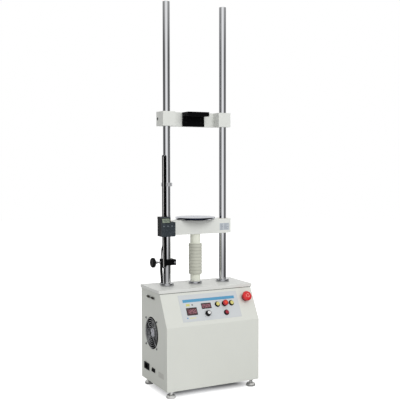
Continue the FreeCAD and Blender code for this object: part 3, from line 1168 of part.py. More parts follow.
def make_power_switch():
    y, z = "switch_y", f"({FOOT} + switch_rise)"
    face = f"(-{SIDE} - switch_flange)"
    deep = f"(-{SIDE} + sheet + switch_depth)"
    flange = block("switch_flange_plate", (face, f"-{SIDE}"), (f"{y} - switch_width/2", f"{y} + switch_width/2"),
                   (f"{z} - switch_height/2", f"{z} + switch_height/2"))
    body = block("switch_body_block", (f"-{SIDE} - 1", deep), *slot_sides("switch_body"))
    well = block("switch_well", (f"{face} - 1", f"{deep} - switch_wall - 5"), *slot_sides("switch_body", "-switch_wall"))
    pin_x = f"({face} + rocker_depth)"
    pivot = rod("switch_pivot", "rocker_pin", f"{z} - switch_height/2 + 2", f"{z} + switch_height/2 - 2", (pin_x, y))
    finish(fuse("rocker_frame", cut("switch_shell", fuse("switch_solid", flange, body), well), pivot), "rocker_frame")
    reach = "((switch_width - 3)/2 - switch_wall - slip_gap)"
    corner = f"(acos((rocker_depth + rocker_proud)/{reach}) + rocker_tilt*1 deg)"
    edge_x, edge_y = f"-{reach}*cos({corner})", f"{reach}*sin({corner})"
    shape = [(edge_x, f"-{edge_y}"), (f"{edge_x} + 1.2", "0"), (edge_x, edge_y), ("3", f"{reach} - 2"),
             ("5.5", "0"), ("3", f"2 - {reach}")]
    depth = "(switch_height - 2 - 2*switch_wall - 2*slip_gap)"
    paddle = padded("rocker_paddle", "XY_Plane", shape, depth, middle=True)
    place(paddle, pin_x, y, z, (0, 0, 1), "rocker_tilt*1 deg")
    hole = rod("rocker_hole", "rocker_pin + fit_gap", f"{z} - switch_height", f"{z} + switch_height", (pin_x, y))
    finish(cut("power_rocker", paddle, hole), "power_rocker")


def port_shell(name, number, start, end, grow="0"):
    """The slant-ended outline of a signal socket's shell, grown by a formula and padded from start to end."""
    wide, up = f"(port_width/2 + {grow})", f"(port_height/2 + {grow})"
    narrow = f"({wide} - port_slant)"
    outline = [(f"-{narrow}", f"-{up}"), (narrow, f"-{up}"), (wide, up), (f"-{wide}", up)]
    shell = padded(name, "YZ_Plane", outline, f"({end}) - ({start})")
    return place(shell, start, f"port_first_y + {number}*port_pitch", f"{FOOT} + port_rise")


def make_sockets():
    ports = []
    for number in (0, 1):
        y, z = f"(port_first_y + {number}*port_pitch)", f"({FOOT} + port_rise)"
        flange = block(f"port_flange_{number}", (f"-{SIDE} - port_flange", f"-{SIDE}"),
                       (f"{y} - port_flange_width/2", f"{y} + port_flange_width/2"),
                       (f"{z} - port_flange_height/2", f"{z} + port_flange_height/2"))
        shell = port_shell(f"port_shell_{number}", number, f"-{SIDE} - port_proud", f"-{SIDE} + sheet + port_depth")
        mouth = port_shell(f"port_mouth_{number}", number, f"-{SIDE} - port_proud - 1",
                           f"-{SIDE} - port_proud + port_mouth", grow="-port_wall")
        ports.append(cut(f"port_{number}", fuse(f"port_solid_{number}", flange, shell), mouth))
    finish(group("signal_jacks", *ports), "signal_jacks")


# Control panel
def make_overlay():
    """The printed sheet on the sloping panel, with holes for everything that comes through."""
    sheet_box = doc.addObject("Part::Box", "overlay_sheet_box")
    bind(sheet_box, "Length", "overlay_width")
    bind(sheet_box, "Width", "overlay_height")
    bind(sheet_box, "Height", "overlay_sheet")
    on_panel(sheet_box, "-overlay_width/2", "overlay_v - overlay_height/2")
    tools = []
    spots = [(f"button_u + ({side})*button_pitch", "button_v", "button_hole + 1") for side in (-1, 0, 1)]
    spots += [("button_u", "record_v", "button_hole + 1"), ("dial_u", "dial_v", "dial_shaft + 1")]
    for number, (u, v, radius) in enumerate(spots):
        hole = doc.addObject("Part::Cylinder", f"overlay_hole_{number}")
        bind(hole, "Radius", radius)
        bind(hole, "Height", "3")
        tools.append(on_panel(hole, u, v, "-1"))
    for side in ("left", "right"):
        window = doc.addObject("Part::Box", f"overlay_window_{side}")
        bind(window, "Length", f"display_{side}_width - 2 + 2*fit_gap")
        bind(window, "Width", f"display_{side}_height - 2 + 2*fit_gap")
        bind(window, "Height", "3")
        tools.append(on_panel(window, f"display_{side}_u - display_{side}_width/2 + 1 - fit_gap",
                              f"display_{side}_v - display_{side}_height/2 + 1 - fit_gap", "-1"))
    finish(cut("control_overlay", sheet_box, *tools), "control_overlay")


def panel_box(name, u, v, out):
    """A box on the panel between two formulas each of u, v and out."""
    item = doc.addObject("Part::Box", name)
    for prop, (low, high) in zip(("Length", "Width", "Height"), (u, v, out)):
        bind(item, prop, f"({high}) - ({low})")
    return on_panel(item, u[0], v[0], out[0])


def make_displays():
    displays = []
    for side in ("left", "right"):
        centre = f"display_{side}_u", f"display_{side}_v"
        half_u, half_v = f"(display_{side}_width/2 - 1 - fit_gap)", f"(display_{side}_height/2 - 1 - fit_gap)"
        body = panel_box(f"display_body_{side}", (f"{centre[0]} - {half_u}", f"{centre[0]} + {half_u}"),
                         (f"{centre[1]} - {half_v}", f"{centre[1]} + {half_v}"), ("-display_depth", "display_proud"))
        rim = panel_box(f"display_rim_{side}", (f"{centre[0]} - display_{side}_width/2", f"{centre[0]} + display_{side}_width/2"),
                        (f"{centre[1]} - display_{side}_height/2", f"{centre[1]} + display_{side}_height/2"),
                        ("overlay_sheet", "display_proud"))
        displays.append(fuse(f"display_{side}", body, rim))
    finish(group("led_displays", *displays), "led_displays")


def panel_turned(name, outline, u, v, out="0"):
    """A turned piece whose axis stands on the panel."""
    return on_panel(turned(name, outline), u, v, out)


def button_housing(name, u, v):
    """A bezel on the overlay and a threaded barrel behind it, bored for the cap's stem."""
    deep = "-button_body"
    bore = "button_stem + slip_gap"
    well = "button_cap + slip_gap"
    top = "overlay_sheet + button_bezel_height"
    outline = [(bore, deep), ("button_hole - fit_gap", deep), ("button_hole - fit_gap", "overlay_sheet"),
               ("button_bezel", "overlay_sheet"), ("button_bezel", f"{top} - 0.8"), ("button_bezel - 0.8", top),
               (well, top), (well, "overlay_sheet + 0.4"), (bore, "overlay_sheet + 0.4")]
    return panel_turned(name, outline, u, v)


def button_cap(name, u, v):
    """A push button's cap with a stem, standing its travel above the bezel's floor."""
    floor = "overlay_sheet + 0.4 + button_travel + 0.3"
    top = f"{floor} + button_cap_height - button_travel"
    outline = [("0", "4 - button_body"), ("button_stem", "4 - button_body"), ("button_stem", floor),
               ("button_cap", floor), ("button_cap", f"{top} - 1.2"), ("button_cap - 1.2", top), ("0", top)]
    finish(panel_turned(f"{name}_body", outline, u, v), name)


def make_panel_controls():
    spots = {"up_button": (f"button_u - button_pitch", "button_v"), "halt_button": ("button_u", "button_v"),
             "down_button": (f"button_u + button_pitch", "button_v"), "record_button": ("button_u", "record_v")}
    housings = [button_housing(f"{name}_housing", u, v) for name, (u, v) in spots.items()]
    for name, (u, v) in spots.items():
        if name == "halt_button":
            make_mushroom(name, u, v)
        else:
            button_cap(name, u, v)
    housings.append(make_estop())
    finish(group("switch_housings", *housings), "switch_housings")
    make_dial()


def make_mushroom(name, u, v):
    """The middle button: a domed head on a neck, above the bezel."""
    floor = "overlay_sheet + 0.4 + button_travel + 0.3"
    neck_top = f"overlay_sheet + button_bezel_height + mushroom_neck"
    top = f"{neck_top} + mushroom_height"
    outline = [("0", "4 - button_body"), ("button_stem", "4 - button_body"), ("button_stem", floor),
               ("button_cap - 1", floor), ("button_cap - 1", neck_top), ("mushroom_radius - 0.6", neck_top),
               ("mushroom_radius", f"{neck_top} + 0.6"), ("mushroom_radius", f"{top} - 3.5"),
               ("mushroom_radius - 1.5", f"{top} - 1.4"), ("mushroom_radius - 5", f"{top} - 0.3"), ("0", top)]
    finish(panel_turned(f"{name}_body", outline, u, v), name)


def make_estop():
    """The emergency stop: a collar and barrel on the panel, and a head that moves down onto it."""
    stem = "(estop_stem + slip_gap)"
    outline = [(stem, "-26"), ("estop_stem + 4 - fit_gap", "-26"), ("estop_stem + 4 - fit_gap", "0"),
               ("estop_collar", "0"), ("estop_collar", "estop_collar_height"), (stem, "estop_collar_height")]
    collar = panel_turned("estop_collar_body", outline, ESTOP_U, "estop_v")
    foot = "(estop_collar_height + estop_travel + 0.5)"
    top = f"({foot} + estop_head)"
    outline = [("0", "-20"), ("estop_stem", "-20"), ("estop_stem", foot), ("estop_radius - 3", foot),
               ("estop_radius - 0.5", f"{foot} + 2"), ("estop_radius", f"{foot} + 4"),
               ("estop_radius - 0.6", f"{top} - 5"), ("estop_radius - 3", f"{top} - 2"),
               ("estop_radius - 7", f"{top} - 0.5"), ("0", top)]
    finish(panel_turned("estop_head_body", outline, ESTOP_U, "estop_v"), "estop_head")
    return collar


def make_dial():
    foot = "overlay_sheet + slip_gap"
    top = f"{foot} + dial_height"
    outline = [("0", "-10"), ("dial_shaft", "-10"), ("dial_shaft", foot), ("dial_radius", foot),
               ("dial_radius", f"{foot} + 2.5"), ("dial_radius - 1.6", f"{foot} + 3.5"),
               ("dial_radius - 2.2", f"{top} - 1"), ("dial_radius - 3.2", top), ("0", top)]
    finish(panel_turned("speed_knob_body", outline, "dial_u", "dial_v"), "speed_knob")


def check_model():
    """Stops if an object failed or a sub-part has no sound shape."""
    doc.recompute()
    for item in doc.Objects:
        if "Invalid" in item.State or "Error" in item.State:
            raise RuntimeError(f"{item.Name} failed: {item.State}")
    for item in PARTS:
        if item.Shape.isNull() or not item.Shape.isValid() or not item.Shape.Solids:
            raise RuntimeError(f"{item.Label} has no sound shape")


make_base()
make_front_cover()
make_side_covers()
make_rear_cover()
make_cover_screws()
make_top_plate()
make_columns()
make_bellows()
make_crosshead()
make_lift_screw()
make_platen()
make_scale()
make_stop_ring()
make_limit_clamp()
make_clamp_knob()
make_readout()
make_lead()
make_upper_crosshead()
make_drive()
make_electronics()
make_fan()
make_power_inlet()
make_power_switch()
make_sockets()
make_overlay()
make_displays()
make_panel_controls()
finish(group("small_screws", *SMALL_SCREWS), "small_screws")
check_model()

os.makedirs("parts", exist_ok=True)
for item in PARTS:
    item.Shape.exportStep(f"parts/{item.Label}.step")
    print(f"{item.Label}: {len(item.Shape.Solids)} solid(s), {item.Shape.Volume / 1000:.2f} cm3")
print(f"{len(PARTS)} nodes")
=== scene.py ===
"""Two-column force test stand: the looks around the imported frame, laid out as a Blender add-on."""

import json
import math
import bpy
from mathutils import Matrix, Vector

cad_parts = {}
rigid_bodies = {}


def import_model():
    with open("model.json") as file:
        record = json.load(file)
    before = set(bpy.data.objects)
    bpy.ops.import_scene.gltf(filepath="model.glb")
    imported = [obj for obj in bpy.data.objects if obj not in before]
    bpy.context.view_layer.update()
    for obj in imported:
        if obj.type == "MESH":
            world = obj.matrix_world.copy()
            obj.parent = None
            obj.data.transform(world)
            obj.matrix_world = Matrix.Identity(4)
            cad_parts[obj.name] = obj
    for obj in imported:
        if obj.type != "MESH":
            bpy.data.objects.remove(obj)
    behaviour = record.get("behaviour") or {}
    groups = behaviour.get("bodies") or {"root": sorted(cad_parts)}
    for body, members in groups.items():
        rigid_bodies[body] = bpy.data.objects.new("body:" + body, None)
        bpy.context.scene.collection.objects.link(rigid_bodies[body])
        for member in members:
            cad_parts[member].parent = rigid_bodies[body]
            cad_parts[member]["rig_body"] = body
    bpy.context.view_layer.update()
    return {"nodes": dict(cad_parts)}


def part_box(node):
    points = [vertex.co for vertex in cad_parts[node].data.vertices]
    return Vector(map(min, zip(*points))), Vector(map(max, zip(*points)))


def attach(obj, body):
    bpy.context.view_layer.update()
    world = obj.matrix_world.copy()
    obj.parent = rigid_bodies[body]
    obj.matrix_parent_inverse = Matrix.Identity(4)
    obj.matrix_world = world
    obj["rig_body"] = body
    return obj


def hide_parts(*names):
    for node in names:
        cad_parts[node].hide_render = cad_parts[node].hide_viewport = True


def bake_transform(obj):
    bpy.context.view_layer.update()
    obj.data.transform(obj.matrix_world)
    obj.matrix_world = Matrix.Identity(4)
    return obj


bl_info = {
    "name": "Two-column force test stand",
    "version": (1, 0, 0),
    "blender": (4, 5, 0),
    "location": "3D View > Sidebar > Test Stand",
    "description": "Builds the pieces, finishes and studio of a two-column force test stand",
    "category": "Object",
}

import bmesh
import bpy
import numpy as np
from mathutils import Matrix, Vector

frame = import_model()
NODES = frame["nodes"]
MM = 0.001


def srgb(red, green, blue):
    """A colour read off a screen, 0 to 255 a channel, as the linear values that shaders take."""
    share = np.array([red, green, blue]) / 255
    linear = np.where(share <= 0.04045, share / 12.92, ((share + 0.055) / 1.055) ** 2.4)
    return tuple(linear.tolist())


def span(node):
    """Lowest and highest corner of a CAD node, in millimetres."""
    low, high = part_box(node)
    return np.array(low) / MM, np.array(high) / MM


# Places that the frame gives, in millimetres
PLATE_TOP = float(span("top_plate")[1][2])
CABINET_LOW, CABINET_HIGH = span("rear_panel")
SIDE = float(CABINET_HIGH[0])
BACK = float(CABINET_HIGH[1])
FRONT = float(span("front_cover")[0][1])
COLUMN_LOW, COLUMN_HIGH = span("column_left")
COLUMN_RADIUS = float(COLUMN_HIGH[0] - COLUMN_LOW[0]) / 2
COLUMN_X = -float(COLUMN_HIGH[0] + COLUMN_LOW[0]) / 2
COLUMN_Y = float(COLUMN_HIGH[1] + COLUMN_LOW[1]) / 2
HEAD_LOW, HEAD_HIGH = span("crosshead")
UPPER_LOW, UPPER_HIGH = span("upper_crosshead")
FOLD = 271.0
SLOPE_RUN = 67.0
LEAN = math.atan2(SLOPE_RUN, float(CABINET_HIGH[2]) - FOLD)


# Axes of a piece: rows are its own x, y and z in the world, z being the way it grows
UP = np.eye(3)
LEFT = np.array([(0, 0, 1), (0, 1, 0), (-1, 0, 0)], float)
RIGHT = np.array([(0, 1, 0), (0, 0, 1), (1, 0, 0)], float)
FORWARD = np.array([(1, 0, 0), (0, 0, 1), (0, -1, 0)], float)
BACKWARD = np.array([(-1, 0, 0), (0, 0, 1), (0, 1, 0)], float)
PANEL = np.array([(1, 0, 0), (0, math.sin(LEAN), math.cos(LEAN)), (0, -math.cos(LEAN), math.sin(LEAN))])
PANEL_ORIGIN = np.array([0, FRONT, FOLD])


# Surfaces
def unit(vectors):
    """Vectors divided by their length."""
    return vectors / np.maximum(np.linalg.norm(vectors, axis=-1, keepdims=True), 1e-12)


def placed(points, axes=UP, origin=(0, 0, 0)):
    """Local points as world points: x, y and z times the three axes, plus the origin."""
    return np.asarray(points, float) @ axes + np.asarray(origin, float)


def on_panel(u, v, out=0.0):
    """The world place of a point of the sloping panel."""
    return placed((u, v, out), PANEL, PANEL_ORIGIN)


def grid_faces(rows, columns, wrap_rows=False):
    """Quads between neighbours of a grid of points, numbered row by row. Each row runs round to its start."""
    i, j = np.meshgrid(np.arange(rows if wrap_rows else rows - 1), np.arange(columns), indexing="ij")
    above, beside = (i + 1) % rows, (j + 1) % columns
    quads = [i * columns + j, i * columns + beside, above * columns + beside, above * columns + j]
    return np.stack(quads, -1).reshape(-1, 4).tolist()


def capped_faces(rows, columns):
    """The grid's quads, with its first and last row closed."""
    first, last = list(range(columns)), list(range((rows - 1) * columns, rows * columns))
    return grid_faces(rows, columns) + [first[::-1], last]


def softened(corners, radius=0.5, steps=4, closed=False):
    """Outline whose corners are arcs tangent to both sides: centre plus a spoke that turns evenly from the
    first side's to the second's."""
    table = np.array([(*corner, radius)[:3] for corner in corners], float)
    points, radii = table[:, :2], table[:, 2].copy()
    before, after = np.roll(points, 1, 0), np.roll(points, -1, 0)
    if not closed:
        radii[[0, -1]] = 0
        before[0], after[-1] = 2 * points[0] - points[1], 2 * points[-1] - points[-2]
    short = np.minimum(np.linalg.norm(before - points, axis=1), np.linalg.norm(after - points, axis=1))
    back, ahead = unit(before - points), unit(after - points)
    half = np.arccos(np.clip((back * ahead).sum(1), -1, 1)) / 2
    reach = np.minimum(radii / np.tan(half), 0.49 * short)
    radii = reach * np.tan(half)
    swing = math.pi - 2 * half
    centre = points + unit(back + ahead) * (radii / np.sin(half))[:, None]
    start, end = points + back * reach[:, None] - centre, points + ahead * reach[:, None] - centre
    share = np.linspace(0, 1, steps + 1)
    scale = np.where(swing < 1e-4, 1, np.sin(swing))[:, None]
    first = np.sin((1 - share) * swing[:, None]) / scale
    second = np.sin(share * swing[:, None]) / scale
    arcs = centre[:, None] + first[..., None] * start[:, None] + second[..., None] * end[:, None]
    plain = (swing < 1e-4) | (reach < 1e-9)
    arcs[plain] = points[plain][:, None]
    outline = arcs.reshape(-1, 2)
    keep = np.linalg.norm(outline - np.roll(outline, 1, 0), axis=1) > 1e-6
    if not closed:
        keep[0] = True
    return outline[keep]


def turned(profile, axes=UP, origin=(0, 0, 0), steps=96, wave=None, closed=False):
    """Surface of revolution: point (i, j) is profile point i, a radius and a height, turned by j steps about
    z. A wave changes the radius by the height and the angle. A closed profile makes a ring."""
    profile = np.asarray(profile, float)
    angle = np.linspace(0, 2 * math.pi, steps, endpoint=False)[None]
    radius, height = profile[:, :1] + 0 * angle, profile[:, 1:] + 0 * angle
    if wave is not None:
        radius = wave(radius, height, angle)
    local = np.stack([radius * np.cos(angle), radius * np.sin(angle), height], -1)
    return placed(local.reshape(-1, 3), axes, origin), grid_faces(len(profile), steps, wrap_rows=closed)


def prism(outline, levels, axes=UP, origin=(0, 0, 0), closed=False):
    """Outline carried along z: level (inset, height) moves each point inwards along its mitred normal, and
    up. The ends are closed, or with closed=True the levels run round a frame's section."""
    outline, levels = np.asarray(outline, float), np.asarray(levels, float)
    ahead, back = unit(np.roll(outline, -1, 0) - outline), unit(outline - np.roll(outline, 1, 0))
    one, two = back[:, ::-1] * (1, -1), ahead[:, ::-1] * (1, -1)
    mitre = (one + two) / (1 + (one * two).sum(1, keepdims=True))
    rings = outline[None] - levels[:, :1, None] * mitre[None]
    heights = np.broadcast_to(levels[:, 1:, None], rings.shape[:2] + (1,))
    points = np.concatenate([rings, heights], -1).reshape(-1, 3)
    size = len(levels), len(outline)
    return placed(points, axes, origin), grid_faces(*size, wrap_rows=True) if closed else capped_faces(*size)


def rectangle(width, height, radius=1.0, steps=4):
    """A rounded rectangle around the origin, counterclockwise."""
    x, y = width / 2, height / 2
    return softened([(-x, -y), (x, -y), (x, y), (-x, y)], radius, steps, closed=True)


def soft_ends(depth, softness, steps=3, foot=0.0):
    """Levels of a prism whose two ends are rounded over by quarter circles."""
    turn = np.linspace(0, math.pi / 2, steps + 1)
    inset, rise = softness * (1 - np.sin(turn)), softness * (1 - np.cos(turn))
    low, high = np.stack([inset, foot + rise], 1), np.stack([inset, foot + depth - rise], 1)
    return np.concatenate([low, high[::-1]])


def block(low, high, softness=0.6, axes=UP, origin=(0, 0, 0), corner=None):
    """A box between two local corners, all edges rounded."""
    low, high = np.asarray(low, float), np.asarray(high, float)
    size, middle = high - low, (high + low) / 2
    corner = softness if corner is None else corner
    outline = rectangle(size[0], size[1], max(corner, softness * 1.001)) + middle[:2]
    return prism(outline, soft_ends(size[2], softness, foot=low[2]), axes, origin)


def swept(path, radius, sides):
    """Tube: circles of the given radii across the path, each turned square to the path's run at its point."""
    run, across = unit(np.gradient(path, axis=0)), np.array((1.0, 0, 0))
    one = unit(across - (run @ across)[:, None] * run)
    two = np.cross(run, one)
    angle = np.linspace(0, 2 * math.pi, sides, endpoint=False)
    radius = np.broadcast_to(np.asarray(radius, float), len(path))[:, None, None]
    circle = one[:, None] * np.cos(angle)[None, :, None] + two[:, None] * np.sin(angle)[None, :, None]
    return (path[:, None] + radius * circle).reshape(-1, 3), capped_faces(len(path), sides)


def joined(*shapes):
    """Several shapes as one, the faces' numbers moved on by the points before them."""
    points, faces, count = [], [], 0
    for shape_points, shape_faces in shapes:
        points.append(shape_points)
        faces += [[index + count for index in face] for face in shape_faces]
        count += len(shape_points)
    return np.concatenate(points), faces


def hexagon(apothem, angle):
    """Radius of a hexagon in the direction of the angle."""
    return apothem / np.cos((angle + math.pi / 6) % (math.pi / 3) - math.pi / 6)


def hex_nut(across, height, bore, axes=UP, origin=(0, 0, 0), foot=0.0):
    """A nut: hexagonal sides, chamfered to a circle at both ends, and a bored middle."""
    rim = across / 2
    lip = rim * 0.08
    profile = [(bore, foot), (rim * 0.97, foot), (rim * 1.08, foot + lip), (rim * 1.08, foot + height - lip),
               (rim * 0.97, foot + height), (bore, foot + height)]
    return turned(profile, axes, origin, 72, lambda radius, _, angle: np.where(
        radius > bore + 0.01, np.minimum(radius, hexagon(rim, angle)), radius), closed=True)


def socket_screw(head, height, shank, length, axes, origin, slim=0.5):
    """A socket-head screw standing on the origin: round head, hexagonal socket, and a shank going back."""
    socket = head * 0.55
    outer = softened([(0, -length), (shank, -length, 0), (shank, 0, 0), (head, 0, 0), (head, height, slim),
                      (socket * 1.2, height, 0.15), (socket, height - 0.25, 0), (socket, height * 0.35, 0),
                      (0, height * 0.2, 0)], 0.2, 3)
    inside = outer[:, 1] > height * 0.3
    edge = np.where(inside & (outer[:, 0] <= socket * 1.01) & (outer[:, 0] > 0), 1.0, 0.0)[:, None]
    return turned(outer, axes, origin, 60, lambda radius, _, angle: np.where(
        edge > 0, np.minimum(radius * 1.1, hexagon(socket * 0.93, angle)), radius))


def pan_screw(head, height, shank, length, axes, origin):
    """A domed screw with a cross recess: the recess's radius follows two crossing bars."""
    dome = [(head * math.sin(t), height * (0.35 + 0.65 * math.cos(t)))
            for t in np.linspace(math.pi / 2, 0.62, 6)]
    arm, narrow = head * 0.56, head * 0.13
    profile = np.array([(0, -length), (shank, -length), (shank, 0), (head, 0)] + dome
                       + [(arm, dome[-1][1] + 0.02), (arm * 0.8, height * 0.35), (0, height * 0.3)])
    recess = np.zeros((len(profile), 1))
    recess[-3:-1] = 1

    def wave(radius, _, angle):
        c, s = np.maximum(np.abs(np.cos(angle)), 1e-6), np.maximum(np.abs(np.sin(angle)), 1e-6)
        reach = radius / arm
        cross = np.maximum(np.minimum(arm * reach / c, narrow / s), np.minimum(narrow / c, arm * reach / s))
        return np.where(recess > 0, cross, radius)
    return turned(profile, axes, origin, 64, wave)


SEGMENTS = {"0": "abcdef", "1": "bc", "2": "abged", "3": "abgcd", "4": "fgbc", "5": "afgcd", "6": "afgedc",
            "7": "abc", "8": "abcdefg", "9": "abcdfg"}
SEGMENT_ENDS = {"a": ((0, 2), (1, 2)), "b": ((1, 2), (1, 1)), "c": ((1, 1), (1, 0)), "d": ((0, 0), (1, 0)),
                "e": ((0, 1), (0, 0)), "f": ((0, 2), (0, 1)), "g": ((0, 1), (1, 1))}


def segment_digits(text, height, axes, origin, depth, lit=True):
    """Seven-segment figures, or the bars that stay dark in them: each bar is a six-sided prism between two
    corners of a figure's grid."""
    shapes, x = [], 0.0
    width, thick, slant = height * 0.5, height * 0.12, 0.12
    for sign in text:
        if sign == ".":
            if lit:
                dot = rectangle(thick, thick, thick * 0.4) + (x - thick * 1.1, 0)
                shapes.append(prism(dot, [(0, 0), (0, depth)], axes, origin))
            continue
        for name, (start, end) in SEGMENT_ENDS.items():
            if (name in SEGMENTS[sign]) != lit:
                continue
            one, two = np.array((start, end)) * (width, height / 2)
            along = unit(two - one)
            across = np.array((-along[1], along[0])) * thick / 2
            one, two = one + along * thick * 0.62, two - along * thick * 0.62
            tip = along * thick / 2
            bar = np.array([one - tip, one - across, two - across, two + tip, two + across, one + across])
            bar[:, 0] += bar[:, 1] * slant + x
            shapes.append(prism(bar, [(0, 0), (0, depth)], axes, origin))
        x += width * 1.62
    return joined(*shapes)


def points_of(mesh):
    """A mesh's points, in its own unit."""
    points = np.empty(len(mesh.vertices) * 3)
    mesh.vertices.foreach_get("co", points)
    return points.reshape(-1, 3)


def lettering(text, size, axes, origin, depth):
    """Plain figures as thin solid shapes, centred on the origin."""
    curve = bpy.data.curves.new("figures", "FONT")
    curve.body, curve.size, curve.extrude = text, size, depth / 2
    curve.align_x, curve.align_y = "CENTER", "CENTER"
    holder = bpy.data.objects.new("figures", curve)
    mesh = bpy.data.meshes.new_from_object(holder)
    points, faces = points_of(mesh), [list(polygon.vertices) for polygon in mesh.polygons]
    bpy.data.objects.remove(holder)
    bpy.data.curves.remove(curve)
    bpy.data.meshes.remove(mesh)
    return placed(points + (0, 0, depth / 2), axes, origin), faces


# Pieces
def settle(item, body, slot, nodes=(), material=None):
    """Gives a finished piece its material, its body and the CAD nodes that it stands for."""
    item.data.materials.clear()
    item.data.materials.append(finish(material or slot))
    if body is not None:
        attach(item, body)
    if nodes:
        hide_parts(*nodes)
    return item


def merge(mesh, flat=False):
    """Merges doubled points, which closes seams and poles. On request flat faces are made whole again."""
    double = 2e-6
    sheet = bmesh.new()
    sheet.from_mesh(mesh)
    bmesh.ops.remove_doubles(sheet, verts=sheet.verts, dist=double)
    if flat:
        bmesh.ops.dissolve_limit(sheet, angle_limit=math.radians(0.6), verts=sheet.verts, edges=sheet.edges)
    else:
        bmesh.ops.dissolve_degenerate(sheet, edges=sheet.edges, dist=double)
    sheet.to_mesh(mesh)
    sheet.free()


def linked(name, mesh, sharp):
    """The mesh as a new object of the scene, smooth up to the sharp angle in degrees."""
    mesh.shade_smooth()
    mesh.set_sharp_from_angle(angle=math.radians(sharp))
    item = bpy.data.objects.new(name, mesh)
    bpy.context.scene.collection.objects.link(item)
    return item


def add_piece(name, shape, body, slot, nodes=(), sharp=32, material=None, merged=True):
    """A new mesh object from a shape in millimetres."""
    points, faces = shape
    mesh = bpy.data.meshes.new(name)
    mesh.from_pydata((points * MM).tolist(), [], faces)
    if merged:
        merge(mesh)
    return settle(linked(name, mesh, sharp), body, slot, nodes, material)


def dressed(node, softness, slot, name=None, sharp=34, segments=2):
    """A merged copy of a CAD node, its flat faces whole again and its edges softened. It stands for it."""
    mesh = NODES[node].data.copy()
    mesh.name = name or f"{node}_shell"
    normals = mesh.attributes.get("custom_normal")
    if normals is not None:
        mesh.attributes.remove(normals)
    merge(mesh, flat=True)
    item = linked(mesh.name, mesh, sharp)
    if softness:
        soft = item.modifiers.new("Softened edges", "BEVEL")
        soft.width, soft.segments = softness * MM, segments
        soft.limit_method, soft.angle_limit = "ANGLE", math.radians(sharp)
        soft.harden_normals = True
    return settle(item, NODES[node]["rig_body"], slot, [node])


def spread(item, function):
    """Gives the piece a UV map: each corner takes the function of its point, in millimetres."""
    mesh = item.data
    corners = np.empty(len(mesh.loops), int)
    mesh.loops.foreach_get("vertex_index", corners)
    layer = mesh.uv_layers.new(name="Print")
    layer.data.foreach_set("uv", function(points_of(mesh) / MM)[corners].astype(np.float32).ravel())


# Finishes
def add_node(tree, kind, inputs=(), **settings):
    """A node with its settings, and its inputs set to numbers or linked from sockets."""
    node = tree.nodes.new(f"ShaderNode{kind}")
    for key, setting in settings.items():
        setattr(node, key, setting)
    for key, given in dict(inputs).items():
        if isinstance(given, bpy.types.NodeSocket):
            tree.links.new(given, node.inputs[key])
        else:
            node.inputs[key].default_value = given
    return node


def reckon(tree, operation, *values, clamp=False):
    """A Math node's result."""
    return add_node(tree, "Math", dict(enumerate(values)), operation=operation, use_clamp=clamp).outputs[0]


def vectors(tree, operation, *values):
    """A Vector Math node's results."""
    return add_node(tree, "VectorMath", dict(enumerate(values)), operation=operation).outputs


def ranged(tree, value, low, high, first, last):
    """A value between low and high moved to lie between first and last."""
    return add_node(tree, "MapRange", dict(enumerate((value, low, high, first, last)))).outputs[0]


def mixed(tree, share, one, two):
    """The first colour, and as much of the second as the share says. Plain colours come as three numbers."""
    one, two = (colour if isinstance(colour, bpy.types.NodeSocket) else (*colour, 1) for colour in (one, two))
    return add_node(tree, "Mix", {0: share, 6: one, 7: two}, data_type="RGBA").outputs[2]


def start_group(name, inputs, outputs):
    """A new node group with its sockets: the group, what its entry gives and what its exit takes."""
    group = bpy.data.node_groups.new(name, "ShaderNodeTree")
    for way, sockets in (("INPUT", inputs), ("OUTPUT", outputs)):
        for socket_name, kind, default in sockets:
            socket = group.interface.new_socket(socket_name, in_out=way, socket_type=f"NodeSocket{kind}")
            if default is not None:
                socket.default_value = default
    return group, group.nodes.new("NodeGroupInput").outputs, group.nodes.new("NodeGroupOutput").inputs


def grain(name):
    """Fine relief: noise on the piece's own coordinates, stretched along an axis where a tool left lines."""
    group, given, results = start_group(name, [
        ("Scale", "Float", 900.0), ("Detail", "Float", 3.0), ("Stretch", "Vector", (1, 1, 1))],
        [("Height", "Float", None)])
    place = add_node(group, "Mapping", {"Vector": add_node(group, "TexCoord").outputs["Object"],
                                        "Scale": given["Stretch"]}).outputs[0]
    noise = add_node(group, "TexNoise", {"Vector": place, "Scale": given["Scale"], "Detail": given["Detail"],
                                         "Roughness": 0.55})
    group.links.new(noise.outputs[0], results["Height"])
    return group


def uneven(name):
    """Slow changes over a surface: the colour's brightness and the roughness drift by soft noise."""
    group, given, results = start_group(name, [
        ("Color", "Color", (0.8, 0.8, 0.8, 1)), ("Tone", "Float", 0.03), ("Scale", "Float", 14.0),
        ("Roughness", "Float", 0.4), ("Spread", "Float", 0.05), ("Stretch", "Vector", (1, 1, 1))],
        [("Color", "Color", None), ("Roughness", "Float", None)])
    place = add_node(group, "Mapping", {"Vector": add_node(group, "TexCoord").outputs["Object"],
                                        "Scale": given["Stretch"]}).outputs[0]

    def swing(scale, detail):
        """Noise from minus one to one."""
        noise = add_node(group, "TexNoise", {"Vector": place, "Scale": scale, "Detail": detail}).outputs[0]
        return reckon(group, "MULTIPLY", reckon(group, "SUBTRACT", noise, 0.5), 2.0)
    bright = reckon(group, "MULTIPLY_ADD", swing(given["Scale"], 4.0), given["Tone"], 1.0)
    shade = add_node(group, "HueSaturation", {"Color": given["Color"], "Value": bright})
    fine = swing(reckon(group, "MULTIPLY", given["Scale"], 9.0), 5.0)
    rough = reckon(group, "MULTIPLY_ADD", fine, given["Spread"], given["Roughness"], clamp=True)
    group.links.new(shade.outputs[0], results["Color"])
    group.links.new(rough, results["Roughness"])
    return group


